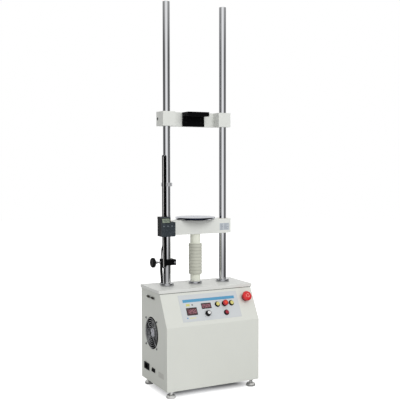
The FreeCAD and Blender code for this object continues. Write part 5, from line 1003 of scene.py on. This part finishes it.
class STAND_OT_scale(StandPiece, bpy.types.Operator):
    """Linear scale with its pale strip and end caps, its stop ring, the limit clamp, and the clamp knob"""
    bl_idname = "stand.scale"
    bl_label = "Linear scale"

    def execute(self, context):
        low, high = span("scale_beam")
        x, depth, half = (low[0] + high[0]) / 2, high[1] - low[1], (high[0] - low[0]) / 2
        seat, cap, start, end, slot = (x, low[1], 0), 4, low[2] + 4.2, high[2] - 4.2, 2.2
        rail = softened([(-half, 0, 0.8), (half, 0, 0.8), (half, depth, 0.5), (slot, depth, 0.2),
                         (slot, depth - 1.2, 0.2), (-slot, depth - 1.2, 0.2), (-slot, depth, 0.2),
                         (-half, depth, 0.5)], 0.5, 3, closed=True)
        rail = prism(rail, soft_ends(high[2] - low[2] - 2 * cap, 0.3, foot=low[2] + cap), UP, seat)
        strip = block((-half, -0.1, start), (2.4 - half, 2.4, end), 0.5, UP, seat)
        lips = block((2.2 - half, -0.2, start), (half - 0.2, 1.2, end), 0.2, UP, seat)
        caps = joined(*(block((-half, 0, z), (half, depth, z + cap), 0.8, UP, seat, corner=1.2)
                        for z in (low[2], high[2] - cap)))
        for name, shape, look, nodes in (
                ("scale_rail", rail, "black_metal", ["scale_beam"]), ("scale_strip", strip, "scale_rail", []),
                ("scale_lips", lips, "scale_lip", []), ("scale_caps", caps, "black_metal", [])):
            add_piece(name, shape, "stand", "scale_aluminium", nodes, material=look)
        screws = [pan_screw(2, 1, 1, 3, FORWARD, (x, low[1] + 0.2, z)) for z in (low[2] + 2, high[2] - 2)]
        add_piece("scale_cap_screws", joined(*screws), "stand", "screw_steel")
        edge = context.scene.stand_sizes.block_edge / MM
        dressed("scale_ring", edge * 0.7, "ring_metal")
        dressed("limit_clamp", edge, "black_metal")
        self.clamp_knob(context.scene.stand_sizes.grips)
        return {"FINISHED"}

    def clamp_knob(self, grips):
        """Moulded head with flutes: its radius dips by a power of the cosine of the angle times the grips."""
        tip, seat = span("clamp_knob")[0][0], (-147.0, COLUMN_Y, 499.0)
        profile = softened([(0, 30), (9, 30, 0), (12.5, 31, 1), (18.5, 32.5, 1.5), (19.5, 35, 1),
                            (19.5, 42, 1.2), (16.5, 45, 1.5), (7.5, 45, 0.6), (6.6, 44, 0.4),
                            (0, 44)], 0.8, 4)
        profile[:, 1] = np.minimum(profile[:, 1], seat[0] - tip)

        def wave(radius, height, angle):
            rim = np.clip((radius - 13) / 6, 0, 1) * (height > 31.5)
            return radius - 1.5 * rim * np.clip(np.cos(angle * grips), 0, 1) ** 0.7
        add_piece("clamp_knob_head", turned(profile, LEFT, seat, 216, wave), "clamp_knob", "knob_plastic",
                  ["clamp_knob"], sharp=50)
        stud = softened([(0, -5), (2.2, -5, 0), (2.5, -4.5, 0), (2.5, 9, 1), (3.6, 15, 3), (5.2, 22, 3),
                         (7.4, 27, 2), (9.5, 30.2, 0.5), (9.5, 30.8, 0), (0, 30.8)], 0.1, 4)
        add_piece("clamp_knob_stud", turned(stud, LEFT, seat, 64), "clamp_knob", "knob_plastic",
                  material="ring_metal")


class STAND_OT_readout(StandPiece, bpy.types.Operator):
    """Position readout: case, display with its rim and figures, and keys"""
    bl_idname = "stand.readout"
    bl_label = "Readout"

    def execute(self, context):
        dressed("readout_case", context.scene.stand_sizes.block_edge / MM * 1.3, "case_plastic", segments=3)
        case_low, case_high = span("readout_case")
        window_low, window_high = span("readout_window")
        slant = math.atan2(9, 28)
        axes = np.array([(1, 0, 0), (0, math.sin(slant), math.cos(slant)),
                         (0, -math.cos(slant), math.sin(slant))])
        middle = np.array(((window_low[0] + window_high[0]) / 2, case_low[1] + 4.5, case_high[2] - 14))
        rim = rectangle(35, 20, 1.6)
        rim_levels = softened([(0, -1), (0, 0.7), (1.4, 0.7), (2, 0.1), (2, -1)], 0.2, 2)
        add_piece("readout_rim", prism(rim, rim_levels, axes, middle, closed=True), "crosshead",
                  "case_plastic", material="bezel_plastic")
        pane = prism(rectangle(32, 17, 0.8), [(0, -1.4), (0, 0.25)], axes, middle)
        add_piece("readout_pane", pane, "crosshead", "window_glass", ["readout_window"])
        figures = segment_digits("48.26", 8.8, axes, middle + placed((-11.4, -4.4, 0.25), axes), 0.05)
        add_piece("readout_figures", figures, "crosshead", "window_glass", material="crystal_figure",
                  merged=False)
        for name in ("left", "middle", "right"):
            node = f"readout_button_{name}"
            low, high = span(node)
            centre, back = ((low[0] + high[0]) / 2, low[1], (low[2] + high[2]) / 2), low[1] - high[1]
            profile = softened([(0, back), (2.6, back, 0.2), (2.6, 0, 0.6), (0, 0)], 0.4, 4)
            add_piece(f"{node}_cap", turned(profile, FORWARD, centre, 48), node, "key_plastic", [node])
        return {"FINISHED"}


# The scale's lead, given as in the part's source
LEAD = [(-153.3, 10.7, 575.1), (-153.6, 22, 561), (-154.2, 27, 545), (-155, 28.5, 520), (-155.6, 27.5, 500),
        (-155, 28.8, 478.5), (-151.6, 35.7, 463), (-135.2, 68.5, 436.5), (-131.7, 75.6, 421.3),
        (-131.7, 75.6, 140), (-141, 35, 85), (-141, 35, 60.6)]


class STAND_OT_lead(StandPiece, bpy.types.Operator):
    """The scale's lead on one smooth curve, and the ribbed sleeve around its lower part"""
    bl_idname = "stand.lead"
    bl_label = "Lead and sleeve"

    def execute(self, context):
        curve = bpy.data.curves.new("scale_cord", "CURVE")
        curve.dimensions = "3D"
        spline = curve.splines.new("NURBS")
        spline.points.add(len(LEAD) - 1)
        spline.points.foreach_set("co", np.array([(x * MM, y * MM, z * MM, 1) for x, y, z in LEAD]).ravel())
        spline.order_u = 3
        spline.use_endpoint_u = True
        spline.resolution_u = 16
        lead = bpy.data.objects.new("scale_cord", curve)
        bpy.context.scene.collection.objects.link(lead)
        bpy.context.view_layer.update()
        line = bpy.data.meshes.new_from_object(lead)
        path = points_of(line) / MM
        bpy.data.meshes.remove(line)
        curve.bevel_depth, curve.bevel_resolution, curve.use_fill_caps = 2.2 * MM, 5, True
        curve.materials.append(finish("lead_jacket"))
        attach(lead, "stand")
        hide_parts("scale_lead")
        self.sleeve(path)
        return {"FINISHED"}

    def sleeve(self, path):
        """Ribbed tube along the lead: its radius is a wave of the distance along it."""
        along = np.concatenate([[0], np.cumsum(np.linalg.norm(np.diff(path, axis=0), axis=1))])
        top, pitch, wide, rib = 493, 2.6, 4.9, 0.32
        start, end = np.interp((-top, -PLATE_TOP - 3), -path[:, 2], along)
        steps = np.linspace(start, end, int((end - start) / pitch * 8))
        line = np.stack([np.interp(steps, along, path[:, axis]) for axis in range(3)], 1)
        for _ in range(3):
            line[1:-1] = (line[:-2] + 2 * line[1:-1] + line[2:]) / 4
        radius = wide + rib * np.cos((steps - start) / pitch * 2 * math.pi)
        gland = softened([(2.9, 0, 0), (8, 0, 0.2), (8, 6, 0.8), (5.4, 8, 0.8), (2.9, 8, 0.2)], 0.4, 3,
                         closed=True)
        gland = turned(gland, UP, (*LEAD[8][:2], PLATE_TOP), 72, lambda radius, _, angle: np.where(
            radius > 7, np.minimum(radius, hexagon(7.3, angle)), radius), closed=True)
        add_piece("lead_ribbed_sleeve", joined(swept(line, radius, 28), gland), "stand", "sleeve_black",
                  ["lead_sleeve"])


class STAND_OT_upper(StandPiece, bpy.types.Operator):
    """Upper crosshead, its black bracket and their socket-head screws"""
    bl_idname = "stand.upper"
    bl_label = "Upper crosshead"

    def execute(self, context):
        edge = context.scene.stand_sizes.block_edge / MM
        dressed("upper_crosshead", edge, "upper_paint")
        dressed("gauge_bracket", edge, "black_metal")
        middle = float(UPPER_LOW[2] + UPPER_HIGH[2]) / 2
        screws = [socket_screw(6.5, 7, 4, 38, axes, (x, float(UPPER_HIGH[1]) - 13, middle))
                  for axes, x in ((LEFT, -142), (RIGHT, 142))]
        screws += [socket_screw(5.5, 5, 2.9, 17, FORWARD, (x, 56, z))
                   for x in (-33, 33) for z in (1053, 1068)]
        add_piece("upper_cap_screws", joined(*screws), "upper_crosshead", "screw_steel", ["upper_screws"],
                  material="black_screw")
        return {"FINISHED"}


class STAND_OT_drive(StandPiece, bpy.types.Operator):
    """The drive and the electronics inside the cabinet"""
    bl_idname = "stand.drive"
    bl_label = "Drive and electronics"

    def execute(self, context):
        for node, soft, slot in (("drive_frame", 0.8, "drive_cast"), ("nut_bearings", 0.4, "bearing_steel"),
                                 ("drive_nut", 0.4, "nut_bronze"), ("nut_pulley", 0.4, "pulley_aluminium"),
                                 ("motor_pulley", 0.4, "pulley_aluminium"),
                                 ("drive_belt", 0.3, "belt_rubber"), ("drive_motor", 0.6, "motor_paint"),
                                 ("power_supply", 0.4, "supply_case"), ("control_board", 0.3, "board_green")):
            dressed(node, soft, slot)
        return {"FINISHED"}


class STAND_OT_fan(StandPiece, bpy.types.Operator):
    """Fan frame, rotor with curved blades, wire guard and the small screws of the covers"""
    bl_idname = "stand.fan"
    bl_label = "Fan and screws"
    centre = (-SIDE, 21.0, 226.0)

    def execute(self, context):
        dressed("fan_frame", 0.6, "fan_plastic")
        self.rotor()
        self.guard()
        self.screws()
        return {"FINISHED"}

    def rotor(self):
        """Each blade: a cambered oval section carried outwards, its chord growing, its pitch flattening."""
        hub = softened([(0, -22), (20, -22, 0.4), (20, -4, 2.2), (11, -4, 0.5), (10.4, -4.5, 0.3), (0, -4.5)],
                       0.5, 4)
        shaft = np.array([(0, -27), (2, -27), (2, -21.5), (0, -21.5)])
        shapes = [turned(hub, LEFT, self.centre, 96), turned(shaft, LEFT, self.centre, 32)]
        stations, sides, blades = 9, 20, 7
        reach = np.linspace(0, 1, stations)[:, None]
        turn = np.linspace(0, 2 * math.pi, sides, endpoint=False)[None]
        radius = 19 + 35 * reach
        chord, pitch = 18 + 12 * reach, np.radians(48 - 20 * reach)
        along, thick = chord / 2 * np.cos(turn), 1.1 * np.sin(turn) + 1.6 * (1 - np.cos(turn) ** 2)
        sideways = along * np.cos(pitch) - thick * np.sin(pitch)
        rise = along * np.sin(pitch) + thick * np.cos(pitch) - 13.5
        for blade in range(blades):
            angle = blade / blades * 2 * math.pi + 0.35 * reach ** 1.5 + sideways / radius
            local = np.stack([radius * np.cos(angle), radius * np.sin(angle), rise], -1).reshape(-1, 3)
            shapes.append((placed(local, LEFT, self.centre), capped_faces(stations, sides)))
        add_piece("fan_blades", joined(*shapes), "fan_rotor", "fan_plastic", ["fan_rotor"], sharp=45)
        plate = softened([(0, -4.4), (17.5, -4.4, 0), (17.5, -3.9, 0.1), (0, -3.9)], 0.1, 2)
        add_piece("fan_hub_plate", turned(plate, LEFT, self.centre, 64), "fan_rotor", "fan_plastic",
                  material="hub_plate")

    def guard(self):
        """Rings of round wire welded on two crossing wires with an eye at each end."""
        turn = np.linspace(0, 2 * math.pi, 12, endpoint=False)
        circle = np.stack([np.cos(turn), np.sin(turn)], 1)
        shapes = [turned(0.65 * circle + (57 - 8 * number, 2.7), LEFT, self.centre, 120, closed=True)
                  for number in range(6)]
        start, reach = np.array(self.centre) + (-1.1, 0, 0), np.linspace(-70.2, 70.2, 40)[:, None]
        for angle in (math.radians(45), math.radians(135)):
            way = np.array((0, math.sin(angle), -math.cos(angle)))
            shapes.append(swept(start + reach * way, 0.9, 12))
            shapes += [turned(1.05 * circle + (3.2, 0), LEFT, start + way * end, 40, closed=True)
                       for end in (-74.25, 74.25)]
        add_piece("fan_wire_guard", joined(*shapes), "stand", "guard_wire", ["fan_guard"], sharp=60)

    def screws(self):
        """Cross-recess screws of the fan and the rear cover, and the limit clamp's socket screw."""
        fan = [pan_screw(3.6, 2, 1.9, 14, LEFT, np.array(self.centre) + (-2.2, y, z))
               for y in (-52.5, 52.5) for z in (-52.5, 52.5)]
        add_piece("fan_screws", joined(*fan), "stand", "screw_steel", material="black_screw")
        rear, points = [], points_of(NODES["small_screws"].data) / MM
        rest = points[points[:, 1] > BACK + 1.9]
        while len(rest):
            near = np.linalg.norm(rest - rest[0], axis=1) < 12
            rear.append((rest[near].min(0) + rest[near].max(0)) / 2)
            rest = rest[~near]
        shapes = [pan_screw(3.6, 2, 1.9, 5, BACKWARD, (x, BACK, z)) for x, _, z in rear]
        shapes.append(socket_screw(4.3, 3, 2.5, 48, FORWARD, (-103, 13, 499), slim=0.4))
        add_piece("cover_screws", joined(*shapes), "stand", "screw_steel", ["small_screws"])


class STAND_OT_sockets(StandPiece, bpy.types.Operator):
    """Mains inlet, rocker switch, and two nine-pin signal sockets"""
    bl_idname = "stand.sockets"
    bl_label = "Sockets and switch"

    def execute(self, context):
        dressed("power_inlet", 0.5, "inlet_plastic")
        dressed("rocker_frame", 0.4, "inlet_plastic")
        dressed("power_rocker", 0.35, "rocker_plastic", segments=3)
        # Looking along +X: an outline's first number runs up, its second back
        outline = softened([(-4.3, 7), (-4.3, -7), (4.3, -8.5), (4.3, 8.5)], 1.6, 4, closed=True)
        wall = softened([(0, -12), (0, 5, 0.3), (0.8, 5, 0.3), (0.8, 1), (0.8, -12)], 0.3, 2)
        pin = softened([(0, 3.1), (0.75, 3.1, 0), (0.75, 3.35, 0), (0, 3.3)], 0.05, 1)
        shells, flanges, mouths, pins, posts = [], [], [], [], []
        for y in (5.0, 46.7):
            spot = np.array((-SIDE, y, 366.0))
            shells.append(prism(outline, wall, LEFT, spot, closed=True))
            flanges.append(prism(rectangle(12.5, 30.8, 1.2), soft_ends(1.2, 0.3), LEFT, spot))
            mouths.append(prism(outline, [(0.8, -12), (0.8, 3.2)], LEFT, spot))
            pins += [turned(pin, LEFT, spot + (0, (number - (count - 1) / 2) * 2.77, row), 16)
                     for row, count in ((1.4, 5), (-1.4, 4)) for number in range(count)]
            posts += [hex_nut(4.8, 3.8, 1.3, LEFT, spot + (0, side, 0), foot=1.2) for side in (-12.5, 12.5)]
        for name, shapes, look, nodes in (
                ("signal_shells", shells, "dark_steel", ["signal_jacks"]),
                ("signal_flanges", flanges, "pale_steel", []), ("signal_mouths", mouths, "dark_gap", []),
                ("signal_contacts", pins, "pin_brass", []), ("signal_posts", posts, "dark_steel", [])):
            add_piece(name, joined(*shapes), "stand", "socket_metal", nodes, material=look)
        return {"FINISHED"}


class STAND_OT_panel(StandPiece, bpy.types.Operator):
    """Printed film, displays with their figures, buttons, dial and emergency stop"""
    bl_idname = "stand.panel"
    bl_label = "Control panel"
    buttons = {"up_button": (32.2, 76.0), "halt_button": (63.5, 76.0), "down_button": (94.8, 76.0),
               "record_button": (63.5, 39.5)}
    dial = (-16.9, 43.0)
    stop = (162.0, 93.0)

    def execute(self, context):
        film = dressed("control_overlay", 0, "overlay_film", name="panel_film")

        def print_place(points):
            """The film's u and v in metres."""
            return ((points - PANEL_ORIGIN) @ PANEL.T)[:, :2] * MM
        spread(film, print_place)
        self.displays()
        self.housings()
        self.caps()
        self.knob()
        self.stop_head()
        return {"FINISHED"}

    def displays(self):
        """A frame around a filter, with lit and dark bars of figures under it."""
        frames, panes, lit, dark = [], [], [], []
        for u, v, width, height, text, size in ((-82.5, 57, 45, 30, "12.50", 12.6),
                                                (-16.8, 74.3, 42, 22.5, "05.08", 11.4)):
            seat = on_panel(u, v)
            levels = softened([(0, 0.6), (0, 1.6), (2.2, 1.6), (3, 0.9), (3, 0.6)], 0.25, 2, closed=True)
            frames.append(prism(rectangle(width, height, 1.2), levels, PANEL, seat, closed=True))
            panes.append(prism(rectangle(width - 4, height - 4, 0.6), [(0, -15), (0, 1.0)], PANEL, seat))
            start = on_panel(u - size * 1.5, v - size / 2, 1.0)
            lit.append(segment_digits(text, size, PANEL, start, 0.05))
            dark.append(segment_digits(text, size, PANEL, start, 0.03, lit=False))
        add_piece("display_filters", joined(*panes), "stand", "display_plastic", ["led_displays"])
        add_piece("display_frames", joined(*frames), "stand", "bezel_plastic")
        add_piece("display_figures", joined(*lit), "stand", "display_plastic", material="lit_figure",
                  merged=False)
        add_piece("display_bars", joined(*dark), "stand", "display_plastic", material="dark_figure",
                  merged=False)

    def housings(self):
        """Bezels with a rounded lip over threaded barrels, and the emergency stop's collar."""
        barrel = softened([(4.3, -30, 0), (7.95, -30, 0), (7.95, 0.6, 0), (11, 0.6, 0.2), (11, 3, 0.9),
                           (9.2, 3, 0.3), (8.9, 2.6, 0.2), (8.9, 1, 0), (4.3, 1, 0)], 0.2, 4, closed=True)
        shapes = [turned(barrel, PANEL, on_panel(*place), 72, closed=True) for place in self.buttons.values()]
        collar = softened([(7.3, -26, 0), (10.95, -26, 0), (10.95, 0, 0), (14.5, 0, 0.3), (14.5, 2.4, 0.6),
                           (12.6, 3.4, 0.6), (12.2, 9, 0.6), (7.3, 9, 0.2)], 0.3, 4, closed=True)
        add_piece("control_bezels", joined(*shapes), "stand", "bezel_plastic", ["switch_housings"])
        add_piece("estop_collar", turned(collar, PANEL, on_panel(*self.stop), 96, closed=True), "stand",
                  "bezel_plastic", material="dark_red_plastic")

    def caps(self):
        """Black caps with a coloured dished face, and the red mushroom with its lens."""
        cap = softened([(0, -26), (4, -26, 0), (4, 4.3, 0), (8.6, 4.3, 0.2), (8.6, 6.6, 0.5), (7.7, 7.4, 0.4),
                        (0, 7.4)], 0.3, 4)
        face = softened([(0, 7.2), (7.5, 7.2, 0), (7.5, 8.6, 0.9), (6.2, 8.8, 0.3), (0, 8.2)], 0.3, 5)
        for name, slot in (("up_button", "yellow_plastic"), ("down_button", "yellow_plastic"),
                           ("record_button", "dark_red_plastic")):
            seat = on_panel(*self.buttons[name])
            add_piece(f"{name}_cap", turned(cap, PANEL, seat, 72), name, slot, [name],
                      material="bezel_plastic")
            add_piece(f"{name}_face", turned(face, PANEL, seat, 72), name, slot)
        dome = softened([(0, -26), (4, -26, 0), (4, 4.3, 0), (7.6, 4.3, 0.2), (7.6, 12, 0.6), (10.9, 12, 0.4),
                         (11.5, 12.6, 0.5), (11.5, 15.5, 1.5), (10, 17.6, 2), (7, 18.4, 0.5),
                         (6.7, 18.1, 0.2), (0, 18.1)], 0.4, 6)
        lens = softened([(0, 18), (6.6, 18, 0), (6.6, 18.4, 0.2), (4, 18.9, 4), (0, 19)], 0.2, 5)
        seat = on_panel(*self.buttons["halt_button"])
        add_piece("halt_button_cap", turned(dome, PANEL, seat, 96), "halt_button", "red_plastic",
                  ["halt_button"], material="deep_red")
        add_piece("halt_button_lens", turned(lens, PANEL, seat, 72), "halt_button", "red_plastic",
                  material="orange_lens")

    def knob(self):
        """A skirt with fine flutes, a silver cap with a line, and the dial's marks around it."""
        seat = on_panel(*self.dial)
        skirt = softened([(0, -10), (3, -10, 0.2), (3, 0.9, 0), (11.5, 0.9, 0.3), (11.5, 3.2, 0.5),
                          (9.9, 4.4, 0.6), (9.2, 13.6, 0.7), (8.2, 14.4, 0.4), (0, 14.4)], 0.4, 4)

        def wave(radius, height, angle):
            grip = (height > 4.6) * np.clip((radius - 8.3) / 1.2, 0, 1)
            return radius - 0.45 * grip * (0.5 + 0.5 * np.cos(angle * 30))
        add_piece("speed_knob_skirt", turned(skirt, PANEL, seat, 240, wave), "speed_knob", "knob_plastic",
                  ["speed_knob"], sharp=50)
        cap = softened([(0, 14.3), (6.7, 14.3, 0), (6.7, 14.8, 0.25), (0, 14.85)], 0.2, 3)
        add_piece("speed_knob_cap", turned(cap, PANEL, seat, 72), "speed_knob", "knob_plastic",
                  material="silver_cap")
        line = prism(rectangle(0.9, 5.6, 0.4) + (0, 4.2), [(0, 14.8), (0, 14.9)], PANEL, seat)
        add_piece("speed_knob_line", line, "speed_knob", "knob_plastic", material="dark_gap")
        ticks = []
        for number in range(11):
            angle = math.radians(220 - number * 26)
            way = np.array((math.cos(angle), math.sin(angle)))
            across = np.array((-way[1], way[0])) * 0.25
            tick = [way * 13 - across, way * 15.5 - across, way * 15.5 + across, way * 13 + across]
            ticks.append(prism(tick, [(0, 0.6), (0, 0.64)], PANEL, seat))
            if number % 5 == 0:
                ticks.append(lettering(str(number), 4, PANEL,
                                       on_panel(*(np.array(self.dial) + way * 18.5), 0.6), 0.04))
        add_piece("dial_marks", joined(*ticks), "stand", "overlay_film", material="dial_print", merged=False)

    def stop_head(self):
        """A large head: a grip edge with shallow flutes and a dished crown with three arrows, whose pale red
        is also a painted highlight of the crown.
        """
        head = softened([(0, -20), (7, -20, 0.3), (7, 14.5, 0), (17, 14.5, 0.6), (19.5, 16.5, 0.8),
                         (20, 18.5, 0.8), (19.4, 22.5, 1.5), (17, 25.5, 1.5), (13, 27, 2), (11.4, 27, 0.4),
                         (10.8, 26.4, 0.4), (0, 26.4)], 0.6, 5)

        def wave(radius, height, angle):
            grip = np.clip((radius - 17) / 2.5, 0, 1) * (height > 15)
            return radius - 0.5 * grip * np.clip(np.cos(angle * 12), 0, 1)
        add_piece("estop_mushroom", turned(head, PANEL, on_panel(*self.stop), 192, wave), "stop_head",
                  "red_plastic", ["estop_head"], sharp=50)
        # Arrow marks in pale red: real arrows, and also a painted highlight on the crown
        arrows = []
        for number in range(3):
            turn = math.radians(120 * number + 20) + np.linspace(0, math.radians(66), 9)
            last, tip = turn[-1], turn[-1] + math.radians(34)
            radius = np.array([8.3] * len(turn) + [10, 7, 4] + [5.7] * len(turn))
            angle = np.concatenate([turn, (last, tip, last), turn[::-1]])
            outline = np.stack([radius * np.cos(angle), radius * np.sin(angle)], 1)
            arrows.append(prism(outline, [(0, 26.2), (0, 26.7)], PANEL, on_panel(*self.stop)))
        add_piece("estop_arrows", joined(*arrows), "stop_head", "red_plastic", material="arrow_print_and_highlight",
                  merged=False)


class STAND_OT_stage(StandPiece, bpy.types.Operator):
    """Pale floor, white surroundings, one large soft lamp, and the camera"""
    bl_idname = "stand.stage"
    bl_label = "Stage"
    # What gloss sees: degrees to the right of the camera's back, and brightness
    walls = ((-140, 1), (-122, 0.4), (-100, 0.1), (-72, 0.06), (-56, 0.1), (-44, 0.2), (-32, 0.52),
             (-12, 0.95), (5, 0.98), (22, 0.84), (36, 0.62), (49, 0.26), (62, 0.1), (90, 0.1), (110, 0.18),
             (125, 0.4), (142, 1))

    def execute(self, context):
        studio = context.scene.stand_studio
        self.walls_group(studio)
        self.world(context.scene, studio)
        self.floor()
        lamp = bpy.data.lights.new("main_lamp", "AREA")
        lamp.shape, lamp.size, lamp.energy = "DISK", 2.6, studio.lamp
        holder = bpy.data.objects.new("main_lamp", lamp)
        way, middle, distance = Vector((0.05, -0.8, 0.44)).normalized(), Vector((0, 0, 0.7)), 4
        holder.location = middle + way * distance
        holder.rotation_euler = way.to_track_quat("Z", "Y").to_euler()
        holder.visible_glossy = False
        context.scene.collection.objects.link(holder)
        self.camera(context.scene, studio)
        context.scene.view_settings.view_transform = "Standard"
        return {"FINISHED"}

    def camera(self, scene, studio):
        """A camera that looks along the heading and the pitch, rolled about its view."""
        camera = bpy.data.cameras.new("studio_camera")
        camera.lens, camera.sensor_width = studio.lens, 36.0
        camera.clip_end = 50
        holder = bpy.data.objects.new("studio_camera", camera)
        level = math.cos(studio.pitch)
        forward = Vector((math.sin(studio.heading) * level, math.cos(studio.heading) * level,
                          -math.sin(studio.pitch)))
        turn = forward.to_track_quat("-Z", "Y").to_matrix() @ Matrix.Rotation(studio.roll, 3, "Z")
        holder.matrix_world = Matrix.Translation(studio.place) @ turn.to_4x4()
        scene.collection.objects.link(holder)
        scene.camera = holder

    def walls_group(self, studio):
        """What gloss sees in a level direction: the brightness of the studio's walls around the stand."""
        group, given, results = start_group("Studio walls", [("Way", "Vector", (0, 1, 0))],
                                            [("Color", "Color", None)])
        sine, cosine = math.sin(studio.heading), math.cos(studio.heading)
        behind, beside = (vectors(group, "DOT_PRODUCT", given["Way"], axis)["Value"]
                          for axis in ((-sine, -cosine, 0), (cosine, -sine, 0)))
        turn = reckon(group, "DIVIDE", reckon(group, "ARCTAN2", beside, behind), 2 * math.pi)
        walls = add_node(group, "ValToRGB", {0: reckon(group, "ADD", turn, 0.5)})
        for element in walls.color_ramp.elements:
            element.color = (1, 1, 1, 1)
        for angle, grey in self.walls:
            walls.color_ramp.elements.new(angle / 360 + 0.5).color = (grey, grey, grey * 1.02, 1)
        group.links.new(walls.outputs[0], results["Color"])

    def floor(self):
        """A disc of pale floor. The camera sees it darker close to the stand, a painted shade over the cast
        shadow, and gloss sees the walls in it, dimmest about 3 m away."""
        reach, sides = 9, 96
        mesh = bpy.data.meshes.new("studio_floor")
        angle = np.linspace(0, 2 * math.pi, sides, endpoint=False)
        rim = np.stack([reach * np.cos(angle), reach * np.sin(angle), 0 * angle], 1)
        mesh.from_pydata(rim.tolist(), [], [list(range(sides))])
        item = bpy.data.objects.new("studio_floor", mesh)
        bpy.context.scene.collection.objects.link(item)
        material = bpy.data.materials.new("studio_floor_look")
        material.use_nodes = True
        tree = material.node_tree
        tree.nodes.clear()
        rays = add_node(tree, "LightPath").outputs
        direct = reckon(tree, "MAXIMUM", rays["Is Camera Ray"], rays["Is Transmission Ray"])
        paint = add_node(tree, "BsdfDiffuse", {"Color": (0.8, 0.8, 0.8, 1)})
        place = add_node(tree, "TexCoord").outputs["Object"]
        # Painted shade under the stand: the glow grows with how far a point lies outside a rectangle between
        # the feet
        shade = (SIDE * MM - 0.07, 0.055, 0)
        past = vectors(tree, "SUBTRACT", vectors(tree, "ABSOLUTE", place)[0], shade)[0]
        away = vectors(tree, "LENGTH", vectors(tree, "MAXIMUM", past, (0, 0, 0))[0])["Value"]
        share = reckon(tree, "MULTIPLY", direct, ranged(tree, away, 0.0, 0.07, 0.02, 0.8))
        glow = add_node(tree, "Emission", {"Color": (1, 1, 1, 1), "Strength": share})
        both = add_node(tree, "AddShader", {0: paint.outputs[0], 1: glow.outputs[0]})
        far = vectors(tree, "LENGTH", place)["Value"]
        bright = reckon(tree, "ADD", ranged(tree, far, 3.0, reach, 0.55, 1.0),
                        ranged(tree, far, 0.5, 2.8, 0.9, 0.0))
        mirrored = add_node(tree, "Emission", {"Color": use_group(tree, "Studio walls", Way=place)[0],
                                               "Strength": bright})
        seen = add_node(tree, "MixShader", {0: rays["Is Glossy Ray"], 1: both.outputs[0],
                                            2: mirrored.outputs[0]})
        add_node(tree, "OutputMaterial", {"Surface": seen.outputs[0]})
        item.data.materials.append(material)

    def world(self, scene, studio):
        """White to the eye. Gloss sees a bright wall behind the camera and one behind the stand, darker sides
        and a bright ceiling. Everything else gets one soft light, stronger from above."""
        world = bpy.data.worlds.new("studio_world")
        world.use_nodes = True
        tree = world.node_tree
        tree.nodes.clear()
        rays = add_node(tree, "LightPath").outputs
        way = add_node(tree, "TexCoord").outputs["Generated"]
        rise = add_node(tree, "SeparateXYZ", {0: way}).outputs[2]
        room = mixed(tree, ranged(tree, rise, 0.24, 0.5, 0.0, 1.0),
                     use_group(tree, "Studio walls", Way=way)[0], (0.95, 0.95, 0.95))
        overhead = reckon(tree, "MULTIPLY_ADD", reckon(tree, "MAXIMUM", rise, 0.0), 0.7, 0.72)
        light = ((1, 1, 1, 1), reckon(tree, "MULTIPLY", overhead, studio.room))
        even, gloss, white = (add_node(tree, "Background", {0: colour, 1: strength}).outputs[0]
                              for colour, strength in (light, (room, 1.0), ((1, 1, 1, 1), 1.0)))
        seen = add_node(tree, "MixShader", {0: rays["Is Glossy Ray"], 1: even, 2: gloss}).outputs[0]
        direct = reckon(tree, "MAXIMUM", rays["Is Camera Ray"], rays["Is Transmission Ray"])
        seen = add_node(tree, "MixShader", {0: direct, 1: seen, 2: white}).outputs[0]
        add_node(tree, "OutputWorld", {"Surface": seen})
        scene.world = world


PIECES = (STAND_OT_cabinet, STAND_OT_feet, STAND_OT_columns, STAND_OT_bellows, STAND_OT_crosshead,
          STAND_OT_platen, STAND_OT_scale, STAND_OT_readout, STAND_OT_lead, STAND_OT_upper, STAND_OT_drive,
          STAND_OT_fan, STAND_OT_sockets, STAND_OT_panel, STAND_OT_stage)


class VIEW3D_PT_stand(bpy.types.Panel):
    """Colours, sizes, studio and pieces of the stand"""
    bl_label = "Force test stand"
    bl_idname = "VIEW3D_PT_stand"
    bl_space_type = "VIEW_3D"
    bl_region_type = "UI"
    bl_category = "Test Stand"

    def draw(self, context):
        for group in (context.scene.stand_colours, context.scene.stand_sizes, context.scene.stand_studio):
            box = self.layout.box()
            for key in type(group).__annotations__:
                box.prop(group, key)
        for piece in PIECES:
            self.layout.operator(piece.bl_idname)


GROUPS = {"stand_colours": StandColours, "stand_sizes": StandSizes, "stand_studio": StandStudio}


def register():
    for kind in (*GROUPS.values(), *PIECES, VIEW3D_PT_stand):
        bpy.utils.register_class(kind)
    for name, kind in GROUPS.items():
        setattr(bpy.types.Scene, name, bpy.props.PointerProperty(type=kind))


def unregister():
    for name in GROUPS:
        delattr(bpy.types.Scene, name)
    for kind in (VIEW3D_PT_stand, *reversed(PIECES), *GROUPS.values()):
        bpy.utils.unregister_class(kind)


def main():
    register()
    for piece in PIECES:
        group, name = piece.bl_idname.split(".")
        getattr(getattr(bpy.ops, group), name)()


if __name__ == "__main__":
    main()
